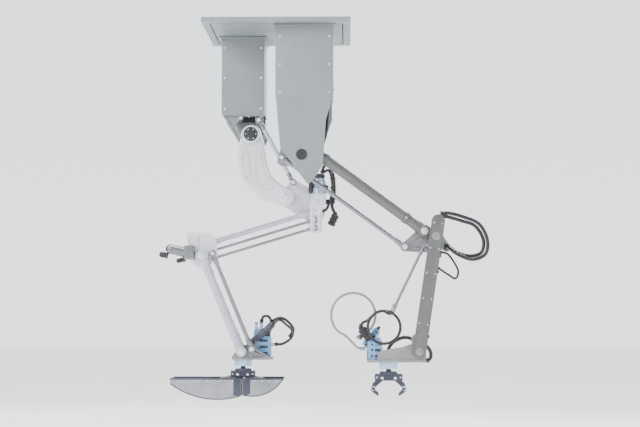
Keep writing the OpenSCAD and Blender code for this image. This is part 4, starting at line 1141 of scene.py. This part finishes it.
def dress_rear_wrist():
    """Tool unit rings, bracket screws, valve slices and fittings."""
    x, z = -117, -1050
    tool_rings("rear_tool_rings", "rear_wrist", x, RT_Y, z)
    b = Shape()
    b.screw(at(rw, RF_Y - 21), FRONT, 8.4, 4.4)
    b.screw(at(rw + Vector((34, 8)), RF_Y - 12), FRONT, 5.4, 3)
    for px, dy in ((-140, -26), (-92, -26), (-40, -26), (-140, 32)):
        b.screw(mm(px, RT_Y + dy, z), UP, 3, 2.4)
    b.screw_circle((x, RT_Y, z), UP, 6, 30, 24, 2.4, 2)
    b.make("rear_wrist_screws", "zinc_steel", "rear_wrist")
    v = Shape()
    slices(v, -89, -27, RT_Y + 4.8, RT_Y + 37, 20, 16, 0.0018)
    v.box((-84, RT_Y + 8, -984), (-50, RT_Y + 33, -964), 0.003)
    v.make("rear_valve_slices", "light_blue", "rear_wrist")
    c = Shape()
    buttons(c, -76, (-64, -38), RT_Y + 4.8, -1038, 20)
    c.box((-48, RT_Y + 10, -984), (-30, RT_Y + 32, -970), 0.002)
    c.make("rear_valve_buttons", "motor_black", "rear_wrist")
    f, g = Shape(), Shape()
    for px in (-76, -60):
        push_fitting(f, g, mm(px, RT_Y + 21, -962), UP, 24)
    for px in (-44, -34):
        push_fitting(f, g, mm(px, RT_Y + 21, -985), UP, 18)
    push_fitting(f, g, mm(-28, RT_Y + 20, -1010), (1, 0, 0), 14)
    f.make("rear_fitting_bodies", "pale_metal", "rear_wrist")
    g.make("rear_fitting_rings", "fitting_blue", "rear_wrist", ("rear_air_fittings",))


def dress_scoops():
    """Rolled rims, edge beads, stiffening ribs and rivets on the two half buckets."""
    rim, half = -1118, 60
    for name, body, x0, x1, c, r, foot in (
            ("rear_scoop_left", "rear_jaw_left", -345, -119, (-196, -936), 248, (-200, -178)),
            ("rear_scoop_right", "rear_jaw_right", -115, 14, (-84, -1058), 116, (-66, -46))):
        s = Shape()
        gap = x1 if x0 < -200 else x0
        reach = sqrt(r * r - (rim - c[1]) ** 2)
        far = max(x0, c[0] - reach) if x0 < -200 else min(x1, c[0] + reach)
        for y in (RT_Y - half + 1, RT_Y + half - 1):
            s.tube([mm(far, y, rim), mm(gap, y, rim)], 0.0026, 12)
        s.tube([mm(far, RT_Y - half, rim), mm(far, RT_Y + half, rim)], 0.0026, 12)
        for y in (RT_Y - half - 0.6, RT_Y + half + 0.6):
            line = []
            for k in range(25):
                x = gap + (far - gap) * k / 24
                line.append(mm(x, y, c[1] - sqrt(max(0, r * r - (x - c[0]) ** 2)) + 1.5))
            s.tube(line, 0.0018, 10)
        side = -1 if x0 < -200 else 1
        for k, wide in enumerate((16, 9)):
            x = gap + side * (1 + 15 * k)
            low = c[1] - sqrt(r * r - (x + side * wide / 2 - c[0]) ** 2)
            for y in (RT_Y - half, RT_Y + half):
                s.box((x - (wide if side < 0 else 0), y - 1.6, low + 3 + 4 * k),
                    (x + (wide if side > 0 else 0), y + 1.6, rim - 1), 0.0007)
        s.make(name + "_rims", "gripper_dark", body)
        t = Shape()
        for y in (RT_Y - half, RT_Y + half):
            axis = FRONT if y < RT_Y else Y
            for k in range(5):
                x = gap + (far - gap) * (0.12 + 0.18 * k)
                t.lathe(mm(x, y, rim - 6.5), axis, [(2.6, 0), (2.4, 0.8), (1.4, 1.5)], 20)
        for y in (-34, 34):
            t.screw(mm((foot[0] + foot[1]) / 2, RT_Y + y, rim - 2), UP, 3.4, 2.6)
        t.make(name + "_rivets", "zinc_steel", body)


front_hoses()
rear_hoses()
dress_columns()
dress_plug()
dress_front_gearbox()
dress_motor("front_motor_fins", fs[0], FRONT_Y + 10, -330, -150, 66, True)
dress_motor("rear_motor_fins", rs[0] - 4, REAR_Y + 56, -285, -130, 58, False)
dress_rear_shoulder()
dress_front_upper()
dress_front_elbow()
dress_forearm()
dress_air_pipe()
dress_front_wrist()
dress_gripper("front_gripper", "front_tool", 345, FT_Y, 84, 20)
dress_gripper("rear_gripper", "rear_tool", -117, RT_Y, 76, 16)
dress_jaws()
rear_casting()
dress_rear_rod()
dress_knee()
dress_rear_links()
dress_rear_elbow()
dress_rear_forearm()
dress_rear_wrist()
dress_scoops()
wrist_extras()
